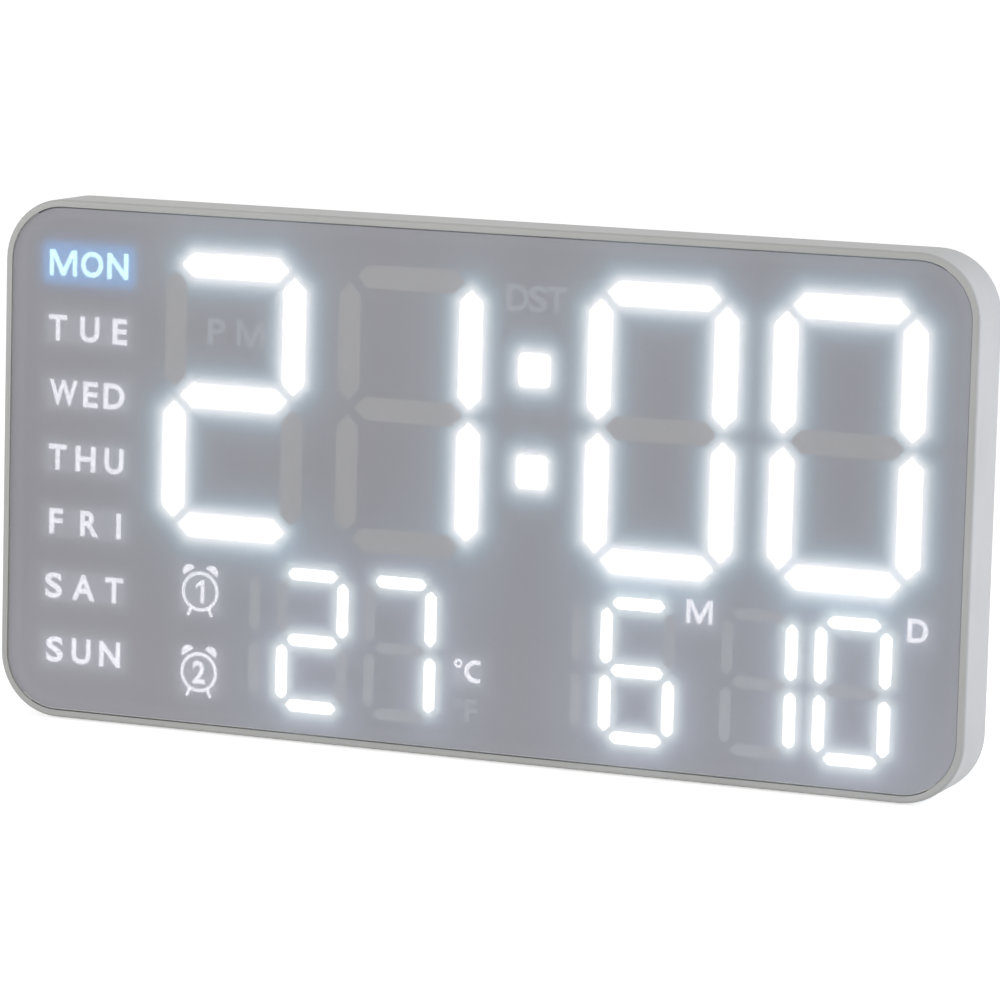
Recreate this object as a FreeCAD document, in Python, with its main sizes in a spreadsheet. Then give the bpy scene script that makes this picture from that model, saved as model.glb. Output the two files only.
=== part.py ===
import FreeCAD, Part
import math
import os
import Sketcher

# A digital day clock, in millimetres. X runs to the reader's right, Y away from the reader and Z up.
# The origin lies under the middle of the clock, on the surface that its feet stand on.

DRIVING_SIZES = (
    # Housing
    ("housing_width", 260.0),
    ("housing_height", 133.5),
    ("housing_depth", 18.0),
    ("corner_radius", 16.0),
    ("wall", 1.8),
    ("front_round", 0.8),
    ("back_round", 1.4),
    ("fit_gap", 0.3),
    ("ledge_width", 3.0),
    ("ledge_thickness", 1.2),
    # Display stack
    ("lens_recess", 0.3),
    ("lens_thickness", 1.5),
    ("lens_round", 0.2),
    ("gasket_thickness", 0.3),
    ("mask_gap", 0.2),
    ("mask_thickness", 0.3),
    ("light_box_depth", 5.0),
    ("board_thickness", 1.6),
    ("insert_proud", 0.06),
    ("insert_depth", 1.5),
    ("insert_gap", 0.12),
    # Big digits for the time
    ("big_half_width", 16.4),
    ("big_half_height", 33.1),
    ("big_stroke", 5.9),
    ("big_tip_gap", 2.1),
    ("big_draft", 14.0),
    ("big_pitch", 48.0),
    ("big_rise", 19.0),
    ("hour_tens_x", -66.0),
    ("minute_tens_x", 49.15),
    ("colon_size", 8.2),
    ("colon_round", 1.5),
    ("colon_spacing", 25.3),
    # Small digits for temperature and date
    ("small_half_width", 8.3),
    ("small_half_height", 16.8),
    ("small_stroke", 2.9),
    ("small_tip_gap", 1.4),
    ("small_draft", 6.0),
    ("small_pitch", 24.1),
    ("small_rise", -41.1),
    ("temperature_tens_x", -42.9),
    ("month_units_x", 44.9),
    ("day_tens_x", 76.5),
    ("half_digit_step", 16.0),
    # Windows for words and symbols
    ("weekday_x", -107.3),
    ("weekday_top_rise", 50.4),
    ("weekday_pitch", 16.65),
    ("weekday_window_width", 25.0),
    ("weekday_window_height", 9.6),
    ("symbol_window", 7.6),
    ("alarm_window_width", 11.4),
    ("alarm_window_height", 13.6),
    ("word_window_width", 17.0),
    ("window_clip", 1.0),
    ("window_draft", 8.0),
    ("alarm_x", -74.3),
    ("alarm_one_rise", -31.0),
    ("alarm_two_rise", -51.8),
    ("unit_x", -0.2),
    ("celsius_rise", -44.5),
    ("fahrenheit_rise", -54.9),
    ("month_mark_x", 60.8),
    ("day_mark_x", 116.7),
    ("mark_rise", -24.7),
    ("afternoon_rise", 35.6),
    ("summer_time_rise", 49.3),
    # Light sources
    ("led_length", 2.0),
    ("led_width", 1.2),
    ("led_height", 0.8),
    # Rear cover and what holds it
    ("cover_thickness", 2.0),
    ("cover_recess", 1.0),
    ("boss_inset", 5.0),
    ("boss_radius", 3.2),
    ("boss_pitch", 48.0),
    ("screw_radius", 1.2),
    ("screw_length", 8.0),
    ("screw_head_radius", 2.4),
    ("screw_head_height", 0.9),
    ("screw_play", 0.05),
    ("ear_boss_inset", 4.35),
    ("ear_boss_radius", 2.4),
    ("ear_width", 8.0),
    ("ear_thickness", 1.5),
    ("ear_spacing", 90.0),
    ("small_screw_radius", 0.85),
    ("small_screw_length", 3.4),
    ("small_screw_head_radius", 1.8),
    ("small_screw_head_height", 1.0),
    ("drive_width", 0.6),
    ("drive_reach", 1.2),
    ("drive_depth", 0.6),
    # Folding leg
    ("leg_width", 36.0),
    ("leg_length", 91.0),
    ("leg_plate", 1.8),
    ("leg_flange", 1.6),
    ("leg_sink", 0.2),
    ("leg_gap", 0.5),
    ("grip_inset", 5.0),
    ("pin_height", 96.5),
    ("pin_radius", 0.8),
    ("pin_play", 0.05),
    ("barrel_radius", 1.9),
    ("heel_depth", 1.2),
    ("heel_reach", 2.4),
    ("pan_wall", 1.4),
    ("pan_round", 0.9),
    ("foot_tip", 5.0),
    ("foot_tip_round", 2.0),
    ("scoop_radius", 9.0),
    ("scoop_depth", 3.0),
    ("scoop_rise", -28.0),
    # Wall hanging
    ("keyhole_spacing", 160.0),
    ("keyhole_rise", 28.0),
    ("keyhole_radius", 4.0),
    ("keyhole_slot", 4.2),
    ("keyhole_travel", 8.0),
    # Buttons
    ("button_first_x", 42.0),
    ("button_pitch", 15.0),
    ("button_rise", 53.5),
    ("button_width", 9.0),
    ("button_height", 5.0),
    ("button_proud", 0.7),
    ("button_bevel", 0.4),
    ("button_gap", 0.25),
    ("button_flange", 1.0),
    ("button_flange_thickness", 0.9),
    ("switch_width", 6.0),
    ("switch_height", 3.6),
    ("switch_plunger_radius", 1.7),
    ("switch_plunger_height", 0.6),
    # Battery bay
    ("cell_radius", 10.0),
    ("cell_thickness", 3.2),
    ("cell_x", -64.0),
    ("cell_rise", -26.0),
    ("cell_play", 0.2),
    ("cell_cap_inset", 1.2),
    ("cell_cap_height", 0.6),
    ("holder_size", 23.6),
    ("holder_floor", 0.5),
    ("holder_lip", 0.3),
    ("holder_round", 1.0),
    ("door_width", 32.0),
    ("door_height", 28.0),
    ("door_thickness", 1.2),
    ("door_rib", 1.2),
    ("door_round", 2.5),
    ("groove_pitch", 2.2),
    ("groove_half_height", 0.5),
    ("bay_wall", 1.2),
    # Socket, vents and board parts
    ("socket_x", -104.0),
    ("socket_rise", -48.0),
    ("socket_width", 8.94),
    ("socket_height", 3.26),
    ("socket_shell", 0.3),
    ("socket_tongue", 0.7),
    ("socket_tongue_inset", 1.5),
    ("vent_x", -106.0),
    ("vent_rise", 50.0),
    ("vent_width", 2.2),
    ("vent_height", 12.0),
    ("vent_pitch", 5.0),
    ("buzzer_x", 64.0),
    ("buzzer_rise", -38.0),
    ("buzzer_radius", 6.0),
    ("buzzer_height", 5.0),
    ("buzzer_port", 1.2),
    ("sound_hole_radius", 0.9),
    ("sound_hole_ring", 3.4),
    ("chip_x", 62.0),
    ("chip_rise", 4.0),
    ("chip_size", 10.0),
    ("chip_height", 1.6),
    ("chip_clip", 0.8),
    ("crystal_x", 76.0),
    ("crystal_length", 8.0),
    ("crystal_width", 3.8),
    ("crystal_height", 2.5),
    ("sensor_radius", 1.2),
    ("sensor_height", 3.0),
    # Rubber feet
    ("foot_proud", 0.5),
    ("foot_thickness", 1.1),
    ("foot_length", 24.0),
    ("foot_depth", 11.0),
    ("foot_round", 3.0),
    ("foot_spacing", 190.0),
)
VENT_SLOTS = 11
SOUND_HOLES = 6
GRIP_GROOVES = 4
BUTTON_NAMES = ("set", "up", "down", "alarm", "dimmer")
WEEKDAYS = 7
PARTS_FOLDER = "parts"
ROOT_TWO = 1.41421
PILL_END = 0.95
OUTER_LED = 0.6

doc = FreeCAD.newDocument("day_clock")
sheet = doc.addObject("Spreadsheet::Sheet", "sizes")


class Size:
    """A length as a number, with the text that works it out from the sheet's cells."""

    def __init__(self, text, value):
        self.text = text
        self.value = value

    @staticmethod
    def of(thing):
        if isinstance(thing, Size):
            return thing
        return Size(repr(thing), float(thing))

    def __add__(self, other):
        other = Size.of(other)
        return Size(f"({self.text} + {other.text})", self.value + other.value)

    def __radd__(self, other):
        return Size.of(other) + self

    def __sub__(self, other):
        other = Size.of(other)
        return Size(f"({self.text} - {other.text})", self.value - other.value)

    def __rsub__(self, other):
        return Size.of(other) - self

    def __mul__(self, number):
        return Size(f"({self.text} * {number!r})", self.value * number)

    __rmul__ = __mul__

    def __truediv__(self, number):
        return Size(f"({self.text} / {number!r})", self.value / number)

    def __neg__(self):
        return Size(f"(-1 * {self.text})", -self.value)


class Sheet:
    """The driving sizes by name."""

    def __init__(self, rows):
        for row, (name, value) in enumerate(rows, start=1):
            sheet.set(f"A{row}", name)
            sheet.set(f"B{row}", str(value))
            sheet.setAlias(f"B{row}", name)
            setattr(self, name, Size(f"sizes.{name}", value))


s = Sheet(DRIVING_SIZES)
doc.recompute()
ZERO = Size("0", 0.0)

# Places along Y, from the front of the housing to its back
housing_front = -s.housing_depth / 2
housing_back = s.housing_depth / 2
lens_front = housing_front + s.lens_recess
lens_back = lens_front + s.lens_thickness
ledge_front = lens_back + s.gasket_thickness
ledge_back = ledge_front + s.ledge_thickness
mask_front = lens_back + s.mask_gap
mask_back = mask_front + s.mask_thickness
insert_front = mask_front - s.insert_proud
light_box_back = mask_back + s.light_box_depth
ear_front = light_box_back - s.ear_thickness
board_back = light_box_back + s.board_thickness
cover_back = housing_back - s.cover_recess
cover_front = cover_back - s.cover_thickness

# Outlines about the middle of the face
face_rise = s.foot_proud + s.housing_height / 2
half_width = s.housing_width / 2
half_height = s.housing_height / 2
cavity_half_width = half_width - s.wall
cavity_half_height = half_height - s.wall
cavity_radius = s.corner_radius - s.wall
window_half_width = cavity_half_width - s.ledge_width
window_half_height = cavity_half_height - s.ledge_width
window_radius = cavity_radius - s.ledge_width
boss_x = half_width - s.boss_inset
ear_boss_z = half_height - s.ear_boss_inset
light_box_half_width = boss_x - s.boss_radius - s.fit_gap
light_box_half_height = window_half_height - s.fit_gap
board_half_height = ear_boss_z - s.small_screw_head_radius - s.fit_gap

# Columns and rows of the display
hour_units_x = s.hour_tens_x + s.big_pitch
minute_units_x = s.minute_tens_x + s.big_pitch
colon_x = (hour_units_x + s.minute_tens_x) / 2
temperature_units_x = s.temperature_tens_x + s.small_pitch
day_units_x = s.day_tens_x + s.small_pitch
temperature_hundreds_x = s.temperature_tens_x - s.half_digit_step
month_tens_x = s.month_units_x - s.half_digit_step

COVER_BOSSES = [(side * boss_x, row * s.boss_pitch) for side in (-1, 1) for row in (-1, 0, 1)]
EAR_BOSSES = [(column * s.ear_spacing, side * ear_boss_z) for column in (-1, 0, 1) for side in (-1, 1)]


def origin_plane(body, role):
    for feature in body.Origin.OriginFeatures:
        if feature.Role == role:
            return feature
    raise RuntimeError(f"{body.Label} has no {role}")


def new_body(label):
    body = doc.addObject("PartDesign::Body", label)
    body.Label = label
    body.AllowCompound = True
    return body


class Drawing:
    """A sketch of closed outlines, each point of which is held by sizes from the sheet.

    On the upright plane x and z are measured from the middle of the clock's face, and depth is
    the place along Y. On the floor plane the second coordinate is Y, and depth is the place along Z.
    On the side plane the first is Y and the second Z above the floor, and depth is the place along X.
    """

    PLANES = {"upright": "XZ_Plane", "floor": "XY_Plane", "side": "YZ_Plane"}

    def __init__(self, body, name, depth, x=ZERO, z=ZERO, plane="upright"):
        self.body = body
        self.plane = plane
        self.sketch = body.newObject("Sketcher::SketchObject", f"{body.Label}_{name}")
        self.sketch.AttachmentSupport = (origin_plane(body, self.PLANES[plane]), [""])
        self.sketch.MapMode = "FlatFace"
        across = Size.of(x)
        up = Size.of(z)
        off = Size.of(depth)
        if plane == "upright":
            up = up + face_rise
            off = -off
        self.sketch.AttachmentOffset = FreeCAD.Placement(
            FreeCAD.Vector(across.value, up.value, off.value), FreeCAD.Rotation()
        )
        self.sketch.setExpression(".AttachmentOffset.Base.x", across.text)
        self.sketch.setExpression(".AttachmentOffset.Base.y", up.text)
        self.sketch.setExpression(".AttachmentOffset.Base.z", off.text)
        self.rules = []
        self.sizes = []

    def rule(self, *args):
        self.rules.append(Sketcher.Constraint(*args))

    def sized(self, size, kind, *args):
        self.sizes.append((len(self.rules), size))
        self.rules.append(Sketcher.Constraint(kind, *args, size.value))

    def place(self, line, end, x=None, z=None):
        if x is not None:
            self.sized(Size.of(x), "DistanceX", -1, 1, line, end)
        if z is not None:
            self.sized(Size.of(z), "DistanceY", -1, 1, line, end)

    def polygon(self, corners):
        corners = [(Size.of(x), Size.of(z)) for x, z in corners]
        first = self.sketch.GeometryCount
        points = [FreeCAD.Vector(x.value, z.value, 0) for x, z in corners]
        count = len(points)
        lines = [Part.LineSegment(points[i], points[(i + 1) % count]) for i in range(count)]
        self.sketch.addGeometry(lines, False)
        for i in range(count):
            self.rule("Coincident", first + i, 2, first + (i + 1) % count, 1)
            self.place(first + i, 1, *corners[i])
        return self

    def circle(self, radius, x=ZERO, z=ZERO):
        x = Size.of(x)
        z = Size.of(z)
        centre = FreeCAD.Vector(x.value, z.value, 0)
        index = self.sketch.addGeometry(Part.Circle(centre, FreeCAD.Vector(0, 0, 1), radius.value), False)
        self.place(index, 3, x, z)
        self.sized(radius, "Radius", index)
        return self

    def rounded(self, half_x, half_z, radius, x=ZERO, z=ZERO):
        """A rectangle of two half sizes about (x, z), with its four corners rounded."""
        left = Size.of(x) - half_x
        right = Size.of(x) + half_x
        low = Size.of(z) - half_z
        high = Size.of(z) + half_z
        first = self.sketch.GeometryCount
        x0, x1, z0, z1, r = left.value, right.value, low.value, high.value, radius.value
        axis = FreeCAD.Vector(0, 0, 1)
        sides = (
            ((x0 + r, z0), (x1 - r, z0), (x1 - r, z0 + r), -90),
            ((x1, z0 + r), (x1, z1 - r), (x1 - r, z1 - r), 0),
            ((x1 - r, z1), (x0 + r, z1), (x0 + r, z1 - r), 90),
            ((x0, z1 - r), (x0, z0 + r), (x0 + r, z0 + r), 180),
        )
        shapes = []
        for start, end, centre, angle in sides:
            shapes.append(Part.LineSegment(FreeCAD.Vector(*start, 0), FreeCAD.Vector(*end, 0)))
            round_corner = Part.Circle(FreeCAD.Vector(*centre, 0), axis, r)
            shapes.append(Part.ArcOfCircle(round_corner, math.radians(angle), math.radians(angle + 90)))
        self.sketch.addGeometry(shapes, False)
        for i in range(8):
            self.rule("Tangent", first + i, 2, first + (i + 1) % 8, 1)
        for i in (0, 4):
            self.rule("Horizontal", first + i)
        for i in (2, 6):
            self.rule("Vertical", first + i)
        for i in (3, 5, 7):
            self.rule("Equal", first + 1, first + i)
        self.sized(radius, "Radius", first + 1)
        self.place(first, 1, z=low)
        self.place(first + 2, 1, x=right)
        self.place(first + 4, 1, z=high)
        self.place(first + 6, 1, x=left)
        return self

    def pill(self, half_x, half_z, x=ZERO, z=ZERO):
        """A slot shape: a rectangle whose ends are almost half circles."""
        end = half_x if half_x.value < half_z.value else half_z
        return self.rounded(half_x, half_z, end * PILL_END, x, z)

    def clipped(self, half_x, half_z, clip, x=ZERO, z=ZERO):
        """A rectangle about (x, z) with its corners cut off."""
        short_x = half_x - clip
        short_z = half_z - clip
        corners = [
            (short_x, -half_z), (half_x, -short_z), (half_x, short_z), (short_x, half_z),
            (-short_x, half_z), (-half_x, short_z), (-half_x, -short_z), (-short_x, -half_z),
        ]
        return self.polygon([(x + a, z + b) for a, b in corners])

    def plus(self, half_width, reach, x, z):
        """A cross of two equal bars about (x, z)."""
        w = half_width
        r = reach
        corners = [
            (w, w), (w, r), (-w, r), (-w, w), (-r, w), (-r, -w),
            (-w, -w), (-w, -r), (w, -r), (w, -w), (r, -w), (r, w),
        ]
        return self.polygon([(x + a, z + b) for a, b in corners])

    def finish(self):
        if self.rules:
            self.sketch.addConstraint(self.rules)
            for index, size in self.sizes:
                self.sketch.setExpression(f"Constraints[{index}]", size.text)
            self.rules = []
        return self.sketch


def healthy(feature):
    doc.recompute()
    if "Invalid" in feature.State or "Error" in feature.State or feature.Shape.isNull():
        raise RuntimeError(f"{feature.Label} could not be made: {feature.getStatusString()}")


def pad(drawing, length, backwards=False, draft=None, both_ways=False):
    """Adds material from the drawing towards the reader, or away from the reader when backwards."""
    body = drawing.body
    sketch = drawing.finish()
    before = body.Shape.Volume if body.Tip and not body.Shape.isNull() else 0.0
    feature = body.newObject("PartDesign::Pad", f"{sketch.Name}_pad")
    feature.Profile = sketch
    feature.setExpression("Length", Size.of(length).text)
    feature.Reversed = backwards
    if both_ways:
        feature.SideType = "Symmetric"
    if draft is not None:
        feature.setExpression("TaperAngle", draft.text)
    healthy(feature)
    if feature.Shape.Volume <= before:
        raise RuntimeError(f"{feature.Label} adds nothing")
    return feature


def cut(drawing, depth, forwards=False, draft=None, both_ways=False):
    """Removes material from the drawing away from the reader, or towards the reader when forwards."""
    body = drawing.body
    sketch = drawing.finish()
    before = body.Shape.Volume
    feature = body.newObject("PartDesign::Pocket", f"{sketch.Name}_cut")
    feature.Profile = sketch
    feature.setExpression("Length", Size.of(depth).text)
    feature.Reversed = forwards
    if both_ways:
        feature.SideType = "Symmetric"
    if draft is not None:
        feature.setExpression("TaperAngle", draft.text)
    healthy(feature)
    if feature.Shape.Volume >= before:
        raise RuntimeError(f"{feature.Label} cuts nothing")
    return feature


def edges_on(shape, axis, place):
    """The names of the edges that lie wholly at one place along an axis."""
    names = []
    for index, edge in enumerate(shape.Edges, start=1):
        box = edge.BoundBox
        low = getattr(box, f"{axis}Min")
        high = getattr(box, f"{axis}Max")
        if abs(low - place) < 0.001 and abs(high - place) < 0.001:
            names.append(f"Edge{index}")
    return names


def fillet(body, radius, axis, place):
    base = body.Tip
    feature = body.newObject("PartDesign::Fillet", f"{body.Label}_round")
    feature.Base = (base, edges_on(base.Shape, axis, place.value))
    feature.setExpression("Radius", radius.text)
    healthy(feature)
    return feature


def chamfer(body, size, axis, place):
    base = body.Tip
    feature = body.newObject("PartDesign::Chamfer", f"{body.Label}_bevel")
    feature.Base = (base, edges_on(base.Shape, axis, place.value))
    feature.setExpression("Size", size.text)
    healthy(feature)
    return feature


def row_of(feature, drawing, reach, count):
    """Repeats a feature along its own drawing's first axis."""
    body = drawing.body
    pattern = body.newObject("PartDesign::LinearPattern", f"{feature.Name}_row")
    pattern.Originals = [feature]
    pattern.Direction = (drawing.sketch, ["H_Axis"])
    pattern.setExpression("Length", reach.text)
    pattern.Occurrences = count
    body.Tip = pattern
    healthy(pattern)
    return pattern


class Digit:
    """The shape of one seven-part figure: seven hexagons with pointed ends."""

    def __init__(self, prefix):
        self.half_width = getattr(s, f"{prefix}_half_width")
        self.half_height = getattr(s, f"{prefix}_half_height")
        self.stroke = getattr(s, f"{prefix}_stroke")
        self.tip_gap = getattr(s, f"{prefix}_tip_gap")
        self.draft = getattr(s, f"{prefix}_draft")
        self.rise = getattr(s, f"{prefix}_rise")

    def bars(self):
        """Each bar's middle and whether it stands upright."""
        w = self.half_width
        h = self.half_height
        return {
            "a": (ZERO, h, False),
            "g": (ZERO, ZERO, False),
            "d": (ZERO, -h, False),
            "f": (-w, h / 2, True),
            "b": (w, h / 2, True),
            "e": (-w, -h / 2, True),
            "c": (w, -h / 2, True),
        }

    def half_length(self, upright):
        return (self.half_height / 2 if upright else self.half_width) - self.tip_gap

    def hexagon(self, drawing, x, z, upright, grow):
        half_stroke = self.stroke / 2 + grow
        tip = self.half_length(upright) + grow * ROOT_TWO
        shoulder = tip - half_stroke
        corners = [
            (-tip, ZERO), (-shoulder, -half_stroke), (shoulder, -half_stroke),
            (tip, ZERO), (shoulder, half_stroke), (-shoulder, half_stroke),
        ]
        if upright:
            corners = [(b, a) for a, b in corners]
        drawing.polygon([(x + a, z + b) for a, b in corners])

    def draw_full(self, drawing, grow=ZERO):
        for x, z, upright in self.bars().values():
            self.hexagon(drawing, x, z, upright, grow)
        return drawing

    def draw_half(self, drawing, grow=ZERO):
        for side in (1, -1):
            self.hexagon(drawing, ZERO, side * self.half_height / 2, True, grow)
        return drawing


big = Digit("big")
small = Digit("small")

# Every figure of the display: node name, shape, column, and whether it is only the upright pair
FIGURES = (
    ("hour_tens_segments", big, s.hour_tens_x, False),
    ("hour_units_segments", big, hour_units_x, False),
    ("minute_tens_segments", big, s.minute_tens_x, False),
    ("minute_units_segments", big, minute_units_x, False),
    ("temperature_hundreds_segments", small, temperature_hundreds_x, True),
    ("temperature_tens_segments", small, s.temperature_tens_x, False),
    ("temperature_units_segments", small, temperature_units_x, False),
    ("month_tens_segments", small, month_tens_x, True),
    ("month_units_segments", small, s.month_units_x, False),
    ("day_tens_segments", small, s.day_tens_x, False),
    ("day_units_segments", small, day_units_x, False),
)

# Every window behind printed words and symbols: half width, half height, place
WEEKDAY_WINDOWS = []
for row in range(WEEKDAYS):
    WEEKDAY_WINDOWS.append((
        s.weekday_window_width / 2, s.weekday_window_height / 2,
        s.weekday_x, s.weekday_top_rise - s.weekday_pitch * row,
    ))
SYMBOL_WINDOWS = [
    (s.alarm_window_width / 2, s.alarm_window_height / 2, s.alarm_x, s.alarm_one_rise),
    (s.alarm_window_width / 2, s.alarm_window_height / 2, s.alarm_x, s.alarm_two_rise),
    (s.symbol_window / 2, s.symbol_window / 2, s.unit_x, s.celsius_rise),
    (s.symbol_window / 2, s.symbol_window / 2, s.unit_x, s.fahrenheit_rise),
    (s.symbol_window / 2, s.symbol_window / 2, s.month_mark_x, s.mark_rise),
    (s.symbol_window / 2, s.symbol_window / 2, s.day_mark_x, s.mark_rise),
    (s.word_window_width / 2, s.symbol_window / 2, s.hour_tens_x, s.afternoon_rise),
    (s.word_window_width / 2, s.symbol_window / 2, colon_x, s.summer_time_rise),
]


def draw_figure(drawing, shape, upright_pair, grow=ZERO):
    return shape.draw_half(drawing, grow) if upright_pair else shape.draw_full(drawing, grow)


def draw_colon(drawing, grow=ZERO):
    half = s.colon_size / 2 + grow
    for side in (-1, 1):
        drawing.rounded(half, half, s.colon_round + grow, z=side * s.colon_spacing / 2)
    return drawing


def draw_windows(drawing, windows, grow=ZERO):
    for window_width, window_height, x, z in windows:
        drawing.clipped(window_width + grow, window_height + grow, s.window_clip, x, z)
    return drawing


def make_figure_wells():
    """The tapered shapes that the mask and the light box are both cut with, one body for each figure."""
    wells = []
    depth = light_box_back - mask_front
    for name, shape, x, upright_pair in FIGURES:
        body = new_body(f"{name}_well")
        drawing = Drawing(body, "bars", mask_front, x, shape.rise)
        draw_figure(drawing, shape, upright_pair, s.insert_gap)
        pad(drawing, depth, backwards=True, draft=-shape.draft)
        wells.append(body)
    body = new_body("colon_well")
    drawing = draw_colon(Drawing(body, "dots", mask_front, colon_x, s.big_rise), s.insert_gap)
    pad(drawing, depth, backwards=True, draft=-s.big_draft)
    wells.append(body)
    return wells


def make_window_wells():
    """The tapered shapes behind the printed words and symbols, which only the light box is cut with."""
    wells = []
    for name, windows in (("weekday_wells", WEEKDAY_WINDOWS), ("symbol_wells", SYMBOL_WINDOWS)):
        body = new_body(name)
        drawing = draw_windows(Drawing(body, "panes", mask_back), windows, s.insert_gap)
        pad(drawing, s.light_box_depth, backwards=True, draft=-s.window_draft)
        wells.append(body)
    return wells


def cut_with(label, base, tools):
    """One piece made by cutting a group of shapes out of a plain one."""
    group = doc.addObject("Part::Compound", f"{label}_tools")
    group.Links = tools
    piece = doc.addObject("Part::Cut", label)
    piece.Label = label
    piece.Base = base
    piece.Tool = group
    healthy(piece)
    if piece.Shape.Volume >= base.Shape.Volume:
        raise RuntimeError(f"{label} is not cut")
    return piece


def make_front_frame():
    """The moulded front: a deep ring with the lens seat in front and screw bosses inside."""
    body = new_body("front_frame")
    outline = Drawing(body, "outline", housing_back).rounded(half_width, half_height, s.corner_radius)
    pad(outline, s.housing_depth)
    fillet(body, s.back_round, "Y", housing_back)
    fillet(body, s.front_round, "Y", housing_front)
    seat = Drawing(body, "lens_seat", housing_front)
    cut(seat.rounded(cavity_half_width, cavity_half_height, cavity_radius), ledge_front - housing_front)
    window = Drawing(body, "window", ledge_front)
    cut(window.rounded(window_half_width, window_half_height, window_radius), s.ledge_thickness)
    cavity = Drawing(body, "cavity", ledge_back)
    cut(cavity.rounded(cavity_half_width, cavity_half_height, cavity_radius), housing_back - ledge_back)
    bosses = Drawing(body, "bosses", cover_front)
    for x, z in COVER_BOSSES:
        bosses.circle(s.boss_radius, x, z)
    pad(bosses, cover_front - ledge_back)
    pilots = Drawing(body, "pilots", cover_front)
    for x, z in COVER_BOSSES:
        pilots.circle(s.screw_radius + s.screw_play, x, z)
    cut(pilots, s.screw_length + s.fit_gap, forwards=True)
    ear_bosses = Drawing(body, "ear_bosses", ear_front)
    for x, z in EAR_BOSSES:
        ear_bosses.circle(s.ear_boss_radius, x, z)
    pad(ear_bosses, ear_front - ledge_back)
    ear_pilots = Drawing(body, "ear_pilots", ear_front)
    for x, z in EAR_BOSSES:
        ear_pilots.circle(s.small_screw_radius + s.screw_play, x, z)
    cut(ear_pilots, ear_front - ledge_back, forwards=True)
    feet = Drawing(body, "foot_seats", s.foot_proud, plane="floor")
    for side in (-1, 1):
        feet.rounded(
            s.foot_length / 2 + s.fit_gap, s.foot_depth / 2 + s.fit_gap, s.foot_round + s.fit_gap,
            side * s.foot_spacing / 2,
        )
    cut(feet, s.foot_thickness - s.foot_proud, forwards=True)
    return body


def make_lens():
    """The smoked front panel, which drops into the frame's seat."""
    body = new_body("display_lens")
    outline = Drawing(body, "outline", lens_back)
    outline.rounded(cavity_half_width - s.fit_gap, cavity_half_height - s.fit_gap, cavity_radius - s.fit_gap)
    pad(outline, s.lens_thickness)
    fillet(body, s.lens_round, "Y", lens_front)
    return body


def make_gasket():
    """The adhesive ring between the lens and the frame's ledge."""
    body = new_body("lens_gasket")
    ring = Drawing(body, "ring", ledge_front)
    ring.rounded(cavity_half_width - s.fit_gap, cavity_half_height - s.fit_gap, cavity_radius - s.fit_gap)
    ring.rounded(window_half_width, window_half_height, window_radius)
    pad(ring, s.gasket_thickness)
    return body


def make_mask(figure_wells):
    """The printed mask in front of the light box, cut out where the figures shine through."""
    body = new_body("display_mask_sheet")
    outline = Drawing(body, "outline", mask_back)
    outline.rounded(window_half_width - s.fit_gap, window_half_height - s.fit_gap, window_radius - s.fit_gap)
    pad(outline, s.mask_thickness)
    return cut_with("display_mask", body, figure_wells)


def make_light_box(figure_wells):
    """The moulded reflector: one tapered well behind each bar, word and symbol."""
    body = new_body("light_box_blank")
    outline = Drawing(body, "outline", light_box_back)
    outline.rounded(light_box_half_width, light_box_half_height, window_radius - s.fit_gap)
    pad(outline, s.light_box_depth)
    notches = Drawing(body, "boss_notches", mask_back)
    for x, z in EAR_BOSSES:
        notches.circle(s.ear_boss_radius + s.fit_gap, x, z)
    cut(notches, s.light_box_depth)
    ears = Drawing(body, "ears", light_box_back)
    for column in (-1, 0, 1):
        for side in (-1, 1):
            x = column * s.ear_spacing
            low = side * (ear_boss_z - s.ear_boss_radius - s.wall)
            high = side * (cavity_half_height - s.fit_gap)
            left = x - s.ear_width / 2
            right = x + s.ear_width / 2
            ears.polygon([(left, low), (right, low), (right, high), (left, high)])
    pad(ears, s.ear_thickness)
    holes = Drawing(body, "ear_holes", ear_front)
    for x, z in EAR_BOSSES:
        holes.circle(s.small_screw_radius + s.fit_gap, x, z)
    cut(holes, s.ear_thickness)
    posts = Drawing(body, "board_pilots", light_box_back)
    for x, z in board_screw_places():
        posts.circle(s.small_screw_radius + s.screw_play, x, z)
    cut(posts, s.small_screw_length, forwards=True)
    return cut_with("light_box", body, figure_wells + make_window_wells())


def board_screw_places():
    """Where the board is screwed to the light box, in the plain strips between the wells."""
    big_reach = s.big_half_width + s.big_stroke / 2
    left = (s.weekday_x + s.weekday_window_width / 2 + s.hour_tens_x - big_reach) / 2
    right = (light_box_half_width + minute_units_x + big_reach) / 2
    top = s.big_rise + s.big_half_height
    bottom = s.small_rise - s.small_half_height / 2
    middle = s.big_rise - s.big_half_height
    return [(left, top), (left, bottom), (right, top), (right, bottom), (colon_x, middle)]


def make_segment_inserts(name, shape, x, upright_pair):
    """The diffusing bars of one figure, flush in the mask and seated in the light box's wells."""
    body = new_body(name)
    drawing = draw_figure(Drawing(body, "bars", insert_front, x, shape.rise), shape, upright_pair)
    pad(drawing, s.insert_depth, backwards=True, draft=-shape.draft)
    return body


def make_colon():
    body = new_body("colon_dots")
    drawing = draw_colon(Drawing(body, "dots", insert_front, colon_x, s.big_rise))
    pad(drawing, s.insert_depth, backwards=True, draft=-s.big_draft)
    return body


def make_window_inserts(name, windows):
    """Diffusers behind the printed words or symbols."""
    body = new_body(name)
    drawing = draw_windows(Drawing(body, "panes", mask_back), windows)
    pad(drawing, s.insert_depth, backwards=True, draft=-s.window_draft)
    return body


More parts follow.
